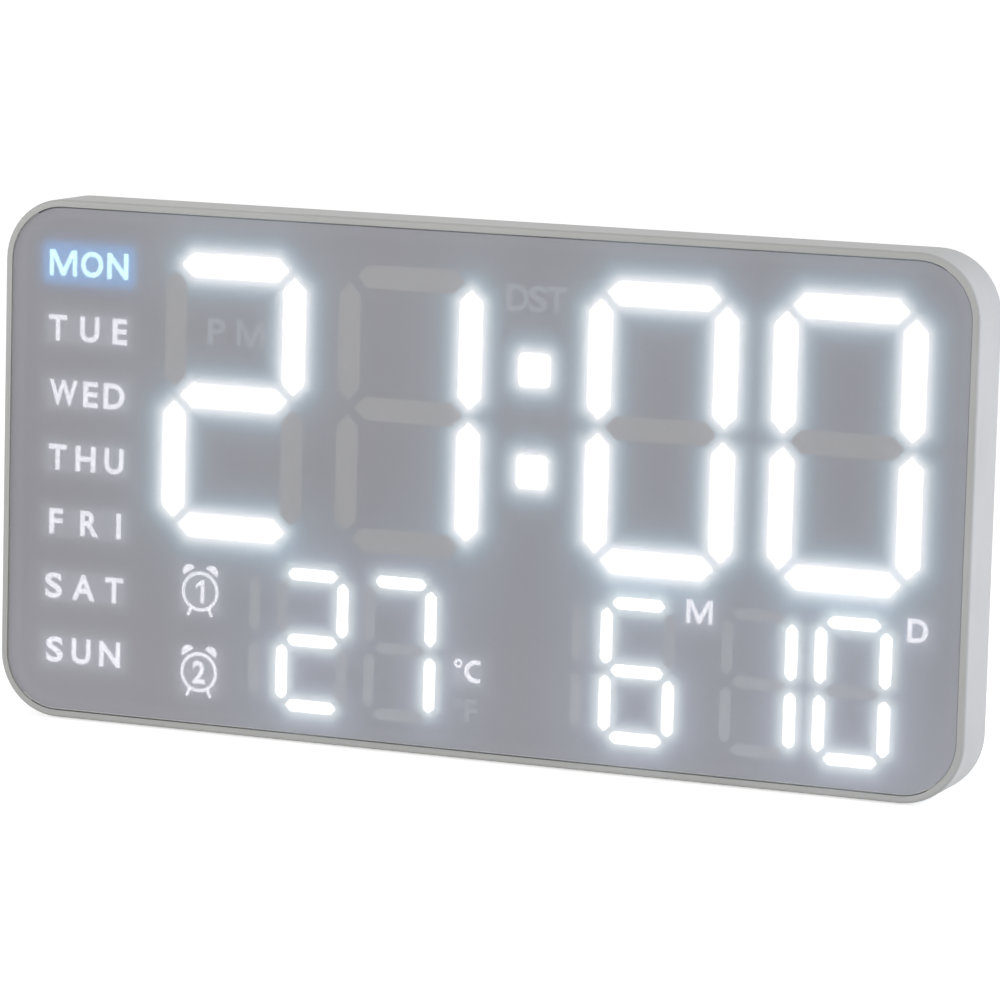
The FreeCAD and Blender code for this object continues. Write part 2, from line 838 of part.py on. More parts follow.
def make_board():
    """The circuit board behind the light box."""
    body = new_body("display_board")
    outline = Drawing(body, "outline", board_back)
    outline.rounded(light_box_half_width, board_half_height, window_radius - s.fit_gap)
    pad(outline, s.board_thickness)
    holes = Drawing(body, "holes", light_box_back)
    for x, z in board_screw_places():
        holes.circle(s.small_screw_radius + s.fit_gap, x, z)
    cut(holes, s.board_thickness)
    return body


def led_places():
    """One light under each small bar and pane, two under each big bar, three under each weekday."""
    places = []
    for _, shape, x, upright_pair in FIGURES:
        bars = shape.bars().values()
        if upright_pair:
            bars = [(ZERO, shape.half_height / 2, True), (ZERO, -shape.half_height / 2, True)]
        for bar_x, bar_z, upright in bars:
            middle_x = x + bar_x
            middle_z = shape.rise + bar_z
            step = shape.half_length(upright) / 2
            if shape is small:
                places.append((middle_x, middle_z, upright))
            elif upright:
                places.append((middle_x, middle_z - step, upright))
                places.append((middle_x, middle_z + step, upright))
            else:
                places.append((middle_x - step, middle_z, upright))
                places.append((middle_x + step, middle_z, upright))
    for side in (-1, 1):
        places.append((colon_x, s.big_rise + side * s.colon_spacing / 2, False))
    for half_pane, _, x, z in WEEKDAY_WINDOWS:
        for side in (-1, 0, 1):
            places.append((x + side * OUTER_LED * half_pane, z, False))
    for _, _, x, z in SYMBOL_WINDOWS:
        places.append((x, z, False))
    return places


def make_leds():
    """The light sources as one group of small blocks on the board's front."""
    blocks = []
    for x, z, upright in led_places():
        size_x = s.led_width if upright else s.led_length
        size_z = s.led_length if upright else s.led_width
        block = doc.addObject("Part::Box", "led")
        block.setExpression("Length", size_x.text)
        block.setExpression("Width", s.led_height.text)
        block.setExpression("Height", size_z.text)
        block.setExpression(".Placement.Base.x", (x - size_x / 2).text)
        block.setExpression(".Placement.Base.y", (light_box_back - s.led_height).text)
        block.setExpression(".Placement.Base.z", (face_rise + z - size_z / 2).text)
        blocks.append(block)
    group = doc.addObject("Part::Compound", "display_leds")
    group.Label = "display_leds"
    group.Links = blocks
    healthy(group)
    return group


def on_board(label):
    """A board part's body and the drawing of its outline on the board's back."""
    body = new_body(label)
    return body, Drawing(body, "outline", board_back)


def make_board_parts():
    """The controller, its clock crystal, the buzzer and the temperature sensor."""
    chip, outline = on_board("controller_chip")
    outline.clipped(s.chip_size / 2, s.chip_size / 2, s.chip_clip, s.chip_x, s.chip_rise)
    pad(outline, s.chip_height, backwards=True)
    crystal, outline = on_board("clock_crystal")
    outline.pill(s.crystal_width / 2, s.crystal_length / 2, s.crystal_x, s.chip_rise)
    pad(outline, s.crystal_height, backwards=True)
    buzzer, outline = on_board("buzzer")
    pad(outline.circle(s.buzzer_radius, s.buzzer_x, s.buzzer_rise), s.buzzer_height, backwards=True)
    port = Drawing(buzzer, "port", board_back + s.buzzer_height - s.buzzer_port)
    cut(port.circle(s.buzzer_port, s.buzzer_x, s.buzzer_rise), s.buzzer_port)
    sensor, outline = on_board("temperature_sensor")
    outline.circle(s.sensor_radius, s.vent_x, s.vent_rise - s.vent_height / 2)
    pad(outline, s.sensor_height, backwards=True)
    return [chip, crystal, buzzer, sensor]


def make_socket():
    """The power inlet: a thin upright shell with a tongue inside."""
    body = new_body("usb_socket")
    length = cover_back - s.fit_gap - board_back
    half_x = s.socket_width / 2
    half_z = s.socket_height / 2
    shell = Drawing(body, "shell", board_back)
    shell.pill(half_x, half_z, s.socket_x, s.socket_rise)
    pad(shell, length, backwards=True)
    mouth = Drawing(body, "mouth", board_back + s.chip_height)
    mouth.pill(half_x - s.socket_shell, half_z - s.socket_shell, s.socket_x, s.socket_rise)
    cut(mouth, length)
    tongue = Drawing(body, "tongue", board_back + s.chip_height)
    left = s.socket_x - half_x + s.socket_tongue_inset
    right = s.socket_x + half_x - s.socket_tongue_inset
    low = s.socket_rise - s.socket_tongue / 2
    high = s.socket_rise + s.socket_tongue / 2
    tongue.polygon([(left, low), (right, low), (right, high), (left, high)])
    pad(tongue, length - s.chip_height - s.socket_tongue, backwards=True)
    return body


def make_cell_holder():
    """A square tray with a round well for the coin cell."""
    body = new_body("cell_holder")
    tray = Drawing(body, "tray", board_back)
    tray.rounded(s.holder_size / 2, s.holder_size / 2, s.holder_round, s.cell_x, s.cell_rise)
    pad(tray, s.holder_floor + s.cell_thickness - s.holder_lip, backwards=True)
    well = Drawing(body, "well", board_back + s.holder_floor)
    cut(well.circle(s.cell_radius + s.cell_play, s.cell_x, s.cell_rise), s.cell_thickness)
    return body


def make_coin_cell():
    """The back-up cell: a wide can with a narrower cap."""
    body = new_body("coin_cell")
    can = Drawing(body, "can", board_back + s.holder_floor + s.cell_cap_height)
    can.circle(s.cell_radius, s.cell_x, s.cell_rise)
    pad(can, s.cell_thickness - s.cell_cap_height, backwards=True)
    cap = Drawing(body, "cap", board_back + s.holder_floor)
    cap.circle(s.cell_radius - s.cell_cap_inset, s.cell_x, s.cell_rise)
    pad(cap, s.cell_cap_height, backwards=True)
    chamfer(body, s.cell_play, "Y", board_back + s.holder_floor + s.cell_thickness)
    return body


def button_x(index):
    return s.button_first_x + s.button_pitch * index


def make_tact_switches():
    """One small switch under each button."""
    body = new_body("tact_switches")
    cases = Drawing(body, "cases", board_back)
    plungers = Drawing(body, "plungers", board_back + s.switch_height)
    half = s.switch_width / 2
    for index in range(len(BUTTON_NAMES)):
        cases.clipped(half, half, s.button_bevel, button_x(index), s.button_rise)
    pad(cases, s.switch_height, backwards=True)
    for index in range(len(BUTTON_NAMES)):
        plungers.circle(s.switch_plunger_radius, button_x(index), s.button_rise)
    pad(plungers, s.switch_plunger_height, backwards=True)
    return body


def make_button(name, index):
    """A pill-shaped key with a flange that keeps it behind the cover."""
    body = new_body(f"{name}_button")
    flange_back = cover_front - s.fit_gap
    half_x = s.button_width / 2
    half_z = s.button_height / 2
    flange = Drawing(body, "flange", flange_back)
    flange.rounded(
        half_x + s.button_flange, half_z + s.button_flange, s.button_flange, button_x(index), s.button_rise
    )
    pad(flange, s.button_flange_thickness)
    key = Drawing(body, "key", flange_back)
    key.pill(half_x, half_z, button_x(index), s.button_rise)
    pad(key, cover_back + s.button_proud - flange_back, backwards=True)
    chamfer(body, s.button_bevel, "Y", cover_back + s.button_proud)
    return body


# The leg lies in a pan in the cover and turns on a pin near the pan's top
leg_back = cover_back - s.leg_sink
pin_y = leg_back - s.barrel_radius
pin_rise = s.pin_height - face_rise
pan_floor = pin_y - s.barrel_radius - s.fit_gap
pan_inner = pan_floor - s.pan_wall
leg_end = pin_rise - s.leg_length
pan_top = pin_rise + s.heel_reach + s.leg_gap
pan_bottom = leg_end - s.leg_gap
pan_half_width = s.leg_width / 2 + s.leg_gap
pan_middle = (pan_top + pan_bottom) / 2
pan_half_height = (pan_top - pan_bottom) / 2
scoop_z = pan_middle + s.scoop_rise


def make_rear_cover():
    """The back: a plate with the leg's pan, keyholes, battery bay, key holes and vents."""
    body = new_body("rear_cover")
    outline = Drawing(body, "outline", cover_back)
    outline.rounded(cavity_half_width - s.fit_gap, cavity_half_height - s.fit_gap, cavity_radius - s.fit_gap)
    pad(outline, s.cover_thickness)
    pan_block = Drawing(body, "pan_block", cover_front)
    pan_block.rounded(
        pan_half_width + s.pan_wall, pan_half_height + s.pan_wall, s.pan_round + s.pan_wall, ZERO, pan_middle
    )
    pad(pan_block, cover_front - pan_inner)
    scoop_block = Drawing(body, "scoop_block", cover_front)
    for side in (-1, 1):
        scoop_block.circle(s.scoop_radius + s.pan_wall, side * s.leg_width / 2, scoop_z)
    pad(scoop_block, cover_front - cover_back + s.scoop_depth + s.pan_wall)
    pan = Drawing(body, "pan", cover_back)
    pan.rounded(pan_half_width, pan_half_height, s.pan_round, ZERO, pan_middle)
    cut(pan, cover_back - pan_floor, forwards=True)
    scoop = Drawing(body, "scoop", cover_back)
    for side in (-1, 1):
        scoop.circle(s.scoop_radius, side * s.leg_width / 2, scoop_z)
    cut(scoop, s.scoop_depth, forwards=True)
    pin_holes = Drawing(body, "pin_holes", ZERO, plane="side")
    pin_holes.circle(s.pin_radius + s.pin_play / 2, pin_y, s.pin_height)
    cut(pin_holes, (pan_half_width + s.pan_wall + s.fit_gap) * 2, both_ways=True)
    bay = Drawing(body, "bay", cover_front)
    bay_half = s.holder_size / 2 + s.fit_gap
    bay.rounded(bay_half + s.bay_wall, bay_half + s.bay_wall, s.door_round, s.cell_x, s.cell_rise)
    pad(bay, cover_front - board_back - s.fit_gap)
    rebate = Drawing(body, "rebate", cover_back)
    rebate.rounded(
        s.door_width / 2 + s.fit_gap, s.door_height / 2 + s.fit_gap, s.door_round, s.cell_x, s.cell_rise
    )
    cut(rebate, s.door_thickness, forwards=True)
    bay_opening = Drawing(body, "bay_opening", cover_back)
    bay_opening.rounded(bay_half, bay_half, s.holder_round, s.cell_x, s.cell_rise)
    cut(bay_opening, cover_back - board_back, forwards=True)
    keyholes = Drawing(body, "keyholes", cover_back)
    for side in (-1, 1):
        keyholes.circle(s.keyhole_radius, side * s.keyhole_spacing / 2, s.keyhole_rise)
    cut(keyholes, s.cover_thickness, forwards=True)
    slots = Drawing(body, "keyhole_slots", cover_back)
    slot_half_height = (s.keyhole_travel + s.keyhole_slot / 2) / 2
    for side in (-1, 1):
        slots.pill(
            s.keyhole_slot / 2, slot_half_height,
            side * s.keyhole_spacing / 2, s.keyhole_rise + slot_half_height,
        )
    cut(slots, s.cover_thickness, forwards=True)
    keys = Drawing(body, "key_holes", cover_back, button_x(0), s.button_rise)
    keys.pill(s.button_width / 2 + s.button_gap, s.button_height / 2 + s.button_gap)
    key_hole = cut(keys, s.cover_thickness, forwards=True)
    row_of(key_hole, keys, s.button_pitch * (len(BUTTON_NAMES) - 1), len(BUTTON_NAMES))
    inlet = Drawing(body, "inlet", cover_back)
    inlet.pill(s.socket_width / 2 + s.fit_gap, s.socket_height / 2 + s.fit_gap, s.socket_x, s.socket_rise)
    cut(inlet, s.cover_thickness, forwards=True)
    vents = Drawing(body, "vents", cover_back, s.vent_x, s.vent_rise)
    vents.pill(s.vent_width / 2, s.vent_height / 2)
    vent = cut(vents, s.cover_thickness, forwards=True)
    row_of(vent, vents, s.vent_pitch * (VENT_SLOTS - 1), VENT_SLOTS)
    sound = Drawing(body, "sound_holes", cover_back, s.buzzer_x, s.buzzer_rise)
    sound.circle(s.sound_hole_radius)
    for step in range(SOUND_HOLES):
        angle = 2 * math.pi * step / SOUND_HOLES
        x = s.sound_hole_ring * math.cos(angle)
        z = s.sound_hole_ring * math.sin(angle)
        sound.circle(s.sound_hole_radius, x, z)
    cut(sound, s.cover_thickness, forwards=True)
    heads = Drawing(body, "screw_seats", cover_back)
    holes = Drawing(body, "screw_holes", cover_back)
    for x, z in COVER_BOSSES:
        heads.circle(s.screw_head_radius + s.fit_gap, x, z)
    cut(heads, s.screw_head_height + s.screw_play, forwards=True)
    for x, z in COVER_BOSSES:
        holes.circle(s.screw_radius + s.fit_gap, x, z)
    cut(holes, s.cover_thickness, forwards=True)
    return body


def make_screws(label, head_back, places, radius, head_radius, head_height, length):
    """A group of screws with flat round heads, driven towards the reader."""
    body = new_body(label)
    heads = Drawing(body, "heads", head_back)
    for x, z in places:
        heads.circle(head_radius, x, z)
    pad(heads, head_height)
    shanks = Drawing(body, "shanks", head_back - head_height)
    for x, z in places:
        shanks.circle(radius, x, z)
    pad(shanks, length)
    return body


def make_cover_screws():
    """The screws that show: bevelled heads with cross recesses, sunk in the cover's seats."""
    head_back = cover_back - s.screw_play
    body = make_screws(
        "cover_screws", head_back, COVER_BOSSES, s.screw_radius, s.screw_head_radius, s.screw_head_height,
        s.screw_length,
    )
    chamfer(body, s.screw_head_height / 3, "Y", head_back)
    drives = Drawing(body, "drives", head_back)
    for x, z in COVER_BOSSES:
        drives.plus(s.drive_width / 2, s.drive_reach, x, z)
    cut(drives, s.drive_depth, forwards=True)
    return body


def make_leg():
    """The folding leg: a ribbed tray with the pin's barrel and a heel that stops it on the pan's floor."""
    body = new_body("stand_leg")
    tray_end = leg_end + s.foot_tip
    plate_middle = (pin_rise + tray_end) / 2
    plate_half = (pin_rise - tray_end) / 2
    half = s.leg_width / 2
    tray = Drawing(body, "tray", leg_back)
    tray.polygon([
        (-half, plate_middle - plate_half), (half, plate_middle - plate_half),
        (half, plate_middle + plate_half), (-half, plate_middle + plate_half),
    ])
    pad(tray, s.barrel_radius * 2)
    hollow = Drawing(body, "hollow", leg_back - s.leg_plate)
    rib_gap = s.leg_flange / 2
    inner = half - s.leg_flange
    low = tray_end + s.leg_flange
    high = pin_rise - s.barrel_radius - s.leg_flange
    middle = (low + high) / 2
    for side in (-1, 1):
        for bottom, top in ((low, middle - rib_gap), (middle + rib_gap, high)):
            hollow.polygon([
                (side * rib_gap, bottom), (side * inner, bottom), (side * inner, top), (side * rib_gap, top),
            ])
    cut(hollow, s.barrel_radius * 2 - s.leg_plate, forwards=True)
    grips = Drawing(body, "grips", leg_back)
    for step in range(GRIP_GROOVES):
        grips.pill(half - s.grip_inset, s.groove_half_height, ZERO, tray_end + s.groove_pitch * (step + 2))
    cut(grips, s.leg_plate / 3, forwards=True)
    barrel = Drawing(body, "barrel", ZERO, plane="side")
    barrel.circle(s.barrel_radius, pin_y, s.pin_height)
    pad(barrel, s.leg_width, both_ways=True)
    heel = Drawing(body, "heel", ZERO, plane="side")
    heel_front = pin_y - s.heel_depth
    heel_top = s.pin_height + s.heel_reach
    heel.polygon([
        (heel_front, s.pin_height), (pin_y, s.pin_height), (pin_y, heel_top), (heel_front, heel_top),
    ])
    pad(heel, s.leg_width, both_ways=True)
    bore = Drawing(body, "bore", ZERO, plane="side")
    bore.circle(s.pin_radius + s.pin_play, pin_y, s.pin_height)
    cut(bore, s.leg_width + s.leg_gap, both_ways=True)
    return body


def make_stand_pin():
    body = new_body("stand_pin")
    rod = Drawing(body, "rod", ZERO, plane="side")
    rod.circle(s.pin_radius, pin_y, s.pin_height)
    pad(rod, (pan_half_width + s.pan_wall) * 2, both_ways=True)
    return body


def make_foot_tip():
    """The rubber tip on the end of the leg, with rounded corners."""
    body = new_body("stand_foot_pad")
    tip = Drawing(body, "tip", leg_back)
    half = s.leg_width / 2
    tip.rounded(half, s.foot_tip / 2, s.foot_tip_round, ZERO, leg_end + s.foot_tip / 2)
    pad(tip, s.barrel_radius * 2)
    return body


def make_battery_door():
    """The lift-off door: a flush plate with grip grooves and two ribs that guide it into the bay."""
    body = new_body("battery_door")
    plate = Drawing(body, "plate", cover_back)
    plate.rounded(s.door_width / 2, s.door_height / 2, s.door_round - s.fit_gap, s.cell_x, s.cell_rise)
    pad(plate, s.door_thickness)
    rib_x = s.holder_size / 2 - s.door_rib
    rib_z = s.holder_size / 3
    ribs = Drawing(body, "ribs", cover_back - s.door_thickness)
    for side in (-1, 1):
        x = s.cell_x + side * rib_x
        left = x - s.door_rib / 2
        right = x + s.door_rib / 2
        ribs.polygon([
            (left, s.cell_rise - rib_z), (right, s.cell_rise - rib_z),
            (right, s.cell_rise + rib_z), (left, s.cell_rise + rib_z),
        ])
    holder_back = board_back + s.holder_floor + s.cell_thickness - s.holder_lip
    pad(ribs, cover_back - s.door_thickness - holder_back - s.fit_gap)
    grooves = Drawing(body, "grooves", cover_back)
    for step in range(GRIP_GROOVES):
        rise = s.cell_rise + s.door_height / 2 - s.groove_pitch * (step + 2)
        grooves.pill(s.door_width / 5, s.groove_half_height, s.cell_x, rise)
    cut(grooves, s.door_thickness / 3, forwards=True)
    return body


def make_feet():
    body = new_body("rubber_feet")
    drawing = Drawing(body, "pads", ZERO, plane="floor")
    for side in (-1, 1):
        drawing.rounded(s.foot_length / 2, s.foot_depth / 2, s.foot_round, side * s.foot_spacing / 2)
    pad(drawing, s.foot_thickness)
    return body


def build_clock():
    figure_wells = make_figure_wells()
    pieces = [make_front_frame(), make_lens(), make_gasket()]
    pieces += [make_mask(figure_wells), make_light_box(figure_wells)]
    for name, shape, x, upright_pair in FIGURES:
        pieces.append(make_segment_inserts(name, shape, x, upright_pair))
    pieces.append(make_colon())
    pieces.append(make_window_inserts("weekday_windows", WEEKDAY_WINDOWS))
    pieces.append(make_window_inserts("symbol_windows", SYMBOL_WINDOWS))
    pieces += make_board_parts()
    pieces += [make_board(), make_socket(), make_cell_holder(), make_coin_cell(), make_tact_switches()]
    for index, name in enumerate(BUTTON_NAMES):
        pieces.append(make_button(name, index))
    pieces.append(make_rear_cover())
    pieces.append(make_cover_screws())
    pieces.append(make_screws(
        "light_box_screws", light_box_back + s.small_screw_head_height, EAR_BOSSES, s.small_screw_radius,
        s.small_screw_head_radius, s.small_screw_head_height, s.small_screw_length,
    ))
    pieces.append(make_screws(
        "board_screws", board_back + s.small_screw_head_height, board_screw_places(), s.small_screw_radius,
        s.small_screw_head_radius, s.small_screw_head_height, s.small_screw_length,
    ))
    pieces += [make_leg(), make_stand_pin(), make_foot_tip(), make_battery_door(), make_feet(), make_leds()]
    return pieces


def write_parts(pieces):
    doc.recompute()
    for thing in doc.Objects:
        if "Invalid" in thing.State or "Error" in thing.State:
            raise RuntimeError(f"{thing.Label} failed to update")
    labels = [piece.Label for piece in pieces]
    if len(labels) != len(set(labels)):
        raise RuntimeError("two pieces share a label")
    for piece in pieces:
        shape = piece.Shape
        if shape.isNull() or not shape.isValid() or not shape.Solids:
            raise RuntimeError(f"{piece.Label} is not a sound solid")
    os.makedirs(PARTS_FOLDER, exist_ok=True)
    for piece in pieces:
        piece.Shape.exportStep(os.path.join(PARTS_FOLDER, f"{piece.Label}.step"))
        print(f"{piece.Label}: {len(piece.Shape.Solids)} solids, {piece.Shape.Volume / 1000:.2f} cm3")


write_parts(build_clock())
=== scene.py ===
import math

import bmesh
import bpy
import numpy as np
from mathutils import Matrix, Vector


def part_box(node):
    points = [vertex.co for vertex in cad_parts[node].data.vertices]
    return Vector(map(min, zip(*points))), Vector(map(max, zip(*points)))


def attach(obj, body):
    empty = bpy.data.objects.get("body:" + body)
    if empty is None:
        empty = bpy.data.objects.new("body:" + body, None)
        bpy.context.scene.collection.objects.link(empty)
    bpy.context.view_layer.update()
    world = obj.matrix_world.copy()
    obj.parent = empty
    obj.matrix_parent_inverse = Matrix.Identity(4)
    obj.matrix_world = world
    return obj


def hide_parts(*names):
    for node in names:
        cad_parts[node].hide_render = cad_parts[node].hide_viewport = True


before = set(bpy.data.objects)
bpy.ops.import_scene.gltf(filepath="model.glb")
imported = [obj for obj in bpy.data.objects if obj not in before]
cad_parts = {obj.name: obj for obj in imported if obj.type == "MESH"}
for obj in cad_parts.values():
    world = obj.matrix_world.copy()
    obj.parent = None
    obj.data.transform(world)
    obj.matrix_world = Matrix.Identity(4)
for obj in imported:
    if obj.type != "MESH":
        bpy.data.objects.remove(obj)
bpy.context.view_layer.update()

# A digital day clock with its display lit, dressed in the CAD frame, in metres
MM = 0.001
scene = bpy.context.scene

# Places read from the frame
FRONT_LOW, FRONT_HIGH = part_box("front_frame")
MASK_LOW, MASK_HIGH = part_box("display_mask")
FACE_Z = (FRONT_LOW.z + FRONT_HIGH.z) / 2
MASK_FRONT = MASK_LOW.y
LENS_LOW, LENS_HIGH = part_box("display_lens")
LENS_HALF_WIDTH = (LENS_HIGH.x - LENS_LOW.x) / 2
LENS_HALF_HEIGHT = (LENS_HIGH.z - LENS_LOW.z) / 2
LENS_RADIUS = 13.9 * MM
BAR_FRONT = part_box("colon_dots")[0].y
BAR_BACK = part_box("colon_dots")[1].y
COVER_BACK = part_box("battery_door")[1].y
INK_THICKNESS = 0.05 * MM
INK_FRONT = MASK_FRONT - INK_THICKNESS

# Figures of the display: node, bar sizes, and the bars that are lit
# Each glow ring has a level, a reach in millimetres, the power of its fall and a colour
BIG = {
    "stroke": 5.9 * MM, "tip_gap": 1.8 * MM, "soft": 0.35 * MM,
    "glow": (
        (0.33, 1.9, 1.4, (1.17, 1.0, 0.82)),
        (0.073, 4.5, 2.0, (0.1, 1.0, 1.35)),
        (0.05, 16.0, 2.0, (0.35, 0.55, 0.60)),
    ),
}
SMALL = {
    "stroke": 2.9 * MM, "tip_gap": 1.4 * MM, "soft": 0.45 * MM,
    "glow": (
        (0.21, 1.9, 2.0, (0.85, 0.95, 0.75)),
        (0.07, 4.5, 2.0, (0.45, 0.65, 0.85)),
        (0.03, 16.0, 2.0, (0.45, 0.80, 1.0)),
    ),
}
FIGURES = (
    ("hour_tens_segments", BIG, "abged"),
    ("hour_units_segments", BIG, "bc"),
    ("minute_tens_segments", BIG, "abcdef"),
    ("minute_units_segments", BIG, "abcdef"),
    ("temperature_tens_segments", SMALL, "abged"),
    ("temperature_units_segments", SMALL, "abc"),
    ("month_units_segments", SMALL, "acdefg"),
    ("day_tens_segments", SMALL, "bc"),
    ("day_units_segments", SMALL, "abcdef"),
)
UPRIGHT_PAIRS = ("temperature_hundreds_segments", "month_tens_segments")
BAR_FRONT_ROUND = 0.03 * MM
COLON_CORNER = 1.5 * MM

# Printed words and symbols, measured from the middle of the face

# Each weekday, and how far in its ends stand from those of the widest one
WEEKDAYS = (
    ("MON", 0.0), ("TUE", 0.0), ("WED", 0.5 * MM), ("THU", 0.45 * MM), ("FRI", 0.9 * MM), ("SAT", 0.0),
    ("SUN", 0.55 * MM),
)
LIT_WEEKDAY = "MON"
WEEKDAY_LEFT = -118.4 * MM
WEEKDAY_RIGHT = -96.1 * MM
WEEKDAY_TOP = 50.43 * MM
WEEKDAY_PITCH = 16.65 * MM

# Letters: their heights, how much the built-in font is thickened, and widths as shares of the height
CAP_HEIGHT = 6.6 * MM
MARK_HEIGHT = 5.8 * MM
LETTER_WEIGHT = 0.026
LETTER_WIDTHS = {
    "M": 1.17, "O": 0.95, "N": 0.9, "T": 0.78, "U": 0.82, "E": 0.63, "W": 1.2, "D": 0.9, "H": 0.87,
    "F": 0.58, "R": 0.8, "I": 0.2, "S": 0.73, "A": 0.98, "P": 0.76, "C": 0.74, "L": 0.6,
    "1": 0.40, "2": 0.60,
}

# Alarm signs: the place and number of each, then the sizes that both share, with the lean in degrees
ALARM_PLACES = ((-74.28 * MM, -31.01 * MM, "1"), (-74.26 * MM, -51.82 * MM, "2"))
ALARM_RING = 4.73 * MM
ALARM_STROKE = 0.84 * MM
ALARM_FIGURE_HEIGHT = 5.9 * MM
BELL_LEAN = 32
BELL_REACH = 5.95 * MM
BELL_RADIUS = 1.8 * MM
FOOT_TOP = (2.5 * MM, 4.35 * MM)
FOOT_TIP = (3.35 * MM, 6.3 * MM)
FOOT_HALF_STROKE = 0.4 * MM

# Unit signs: name, letter, its left edge and middle height, the place of the degree ring, and lit or not
UNIT_SIGNS = (
    ("celsius_sign", "C", -1.07 * MM, -44.86 * MM, (-2.72 * MM, -43.1 * MM), True),
    ("fahrenheit_sign", "F", -0.7 * MM, -54.88 * MM, (-2.4 * MM, -53.18 * MM), False),
)
DEGREE_OUTER = 1.13 * MM
DEGREE_INNER = 0.5 * MM
UNIT_GLOW_LEFT = -3.5 * MM
UNIT_GLOW_RIGHT = 3.3 * MM

# Lit letters after the date, and words that stay dark with their widths
DATE_MARKS = (("month_mark", "M", 60.79 * MM, -24.73 * MM), ("day_mark", "D", 116.69 * MM, -24.63 * MM))
DARK_WORDS = (
    ("afternoon_word", "PM", -65.61 * MM, 35.62 * MM, 15.8 * MM),
    ("summer_time_word", "DST", 15.62 * MM, 49.29 * MM, 15.9 * MM),
)

# Light round each lit word: its level, its reach in millimetres and its colour
WORD_GLOW = (0.065, 1.5, (0.9, 0.97, 1.0))
# The block of light round the lit weekday: its reach and softness in millimetres, and its colour
DAY_GLOW = (2.1, 0.6, (0.0, 0.09, 0.22))

# Names printed under the keys
KEY_NAMES = (
    ("set_button", "SET"), ("up_button", "UP"), ("down_button", "DN"), ("alarm_button", "AL"),
    ("dimmer_button", "DIM"),
)
KEY_NAME_HEIGHT = 2.0 * MM
KEY_NAME_GAP = 0.5 * MM
KEY_NAME_DROP = 2.4 * MM
KEY_NAME_THICKNESS = 0.03 * MM


# Materials

def node_material(name):
    material = bpy.data.materials.new(name)
    material.use_nodes = True
    tree = material.node_tree
    shader = tree.nodes["Principled BSDF"]
    return material, tree, shader


def link(tree, source, output, target, socket):
    tree.links.new(source.outputs[output], target.inputs[socket])


def object_noise(tree, scale, detail, stretch=(1, 1, 1)):
    """A noise pattern fixed to the object, of so many cells in a metre."""
    place = tree.nodes.new("ShaderNodeTexCoord")
    shape = tree.nodes.new("ShaderNodeMapping")
    shape.inputs["Scale"].default_value = stretch
    noise = tree.nodes.new("ShaderNodeTexNoise")
    noise.inputs["Scale"].default_value = scale
    noise.inputs["Detail"].default_value = detail
    link(tree, place, "Object", shape, "Vector")
    link(tree, shape, "Vector", noise, "Vector")
    return noise


def shade_between(tree, pattern, dark, light, shader, socket="Base Color"):
    ramp = tree.nodes.new("ShaderNodeValToRGB")
    ramp.color_ramp.elements[0].position = 0.35
    ramp.color_ramp.elements[1].position = 0.65
    ramp.color_ramp.elements[0].color = (*dark, 1)
    ramp.color_ramp.elements[1].color = (*light, 1)
    link(tree, pattern, "Fac", ramp, "Fac")
    link(tree, ramp, "Color", shader, socket)


def roughness_between(tree, pattern, low, high, shader):
    spread = tree.nodes.new("ShaderNodeMapRange")
    spread.inputs["To Min"].default_value = low
    spread.inputs["To Max"].default_value = high
    link(tree, pattern, "Fac", spread, "Value")
    link(tree, spread, "Result", shader, "Roughness")


def bump_from(tree, pattern, height, shader):
    bump = tree.nodes.new("ShaderNodeBump")
    bump.inputs["Distance"].default_value = height
    bump.inputs["Strength"].default_value = 0.6
    link(tree, pattern, "Fac", bump, "Height")
    link(tree, bump, "Normal", shader, "Normal")


def plastic(name, colour, spread=0.04, roughness=0.45, grain=2500, grain_height=0.02 * MM):
    """Moulded plastic: a fine grain in the surface, a slow drift in shade and uneven gloss."""
    material, tree, shader = node_material(name)
    drift = object_noise(tree, scale=35, detail=4)
    dark = [c * (1 - spread) for c in colour]
    light = [min(1, c * (1 + spread)) for c in colour]
    shade_between(tree, drift, dark, light, shader)
    texture = object_noise(tree, scale=grain, detail=2)
    roughness_between(tree, texture, roughness - 0.06, roughness + 0.06, shader)
    bump_from(tree, texture, grain_height, shader)
    return material


def brushed_metal(name, colour, roughness=0.3, stretch=(1, 1, 14)):
    """Bare metal with fine lines drawn out along one way."""
    material, tree, shader = node_material(name)
    lines = object_noise(tree, scale=900, detail=4, stretch=stretch)
    dark = [c * 0.88 for c in colour]
    shade_between(tree, lines, dark, colour, shader)
    roughness_between(tree, lines, roughness - 0.08, roughness + 0.1, shader)
    bump_from(tree, lines, 0.005 * MM, shader)
    shader.inputs["Metallic"].default_value = 1.0
    return material


def rubber(name, colour):
    """Dull rubber with a coarse skin."""
    material, tree, shader = node_material(name)
    texture = object_noise(tree, scale=1400, detail=5)
    shade_between(tree, texture, colour, [c * 1.6 for c in colour], shader)
    roughness_between(tree, texture, 0.7, 0.9, shader)
    bump_from(tree, texture, 0.06 * MM, shader)
    return material


def lit(name, colour, strength):
    """A milky diffuser with light behind it, a little uneven along its length."""
    material, tree, shader = node_material(name)
    cloud = object_noise(tree, scale=160, detail=2)
    shade_between(tree, cloud, [c * 0.97 for c in colour], colour, shader, "Emission Color")
    shader.inputs["Base Color"].default_value = (0.7, 0.7, 0.7, 1)
    shader.inputs["Emission Strength"].default_value = strength
    shader.inputs["Roughness"].default_value = 0.5
    return material


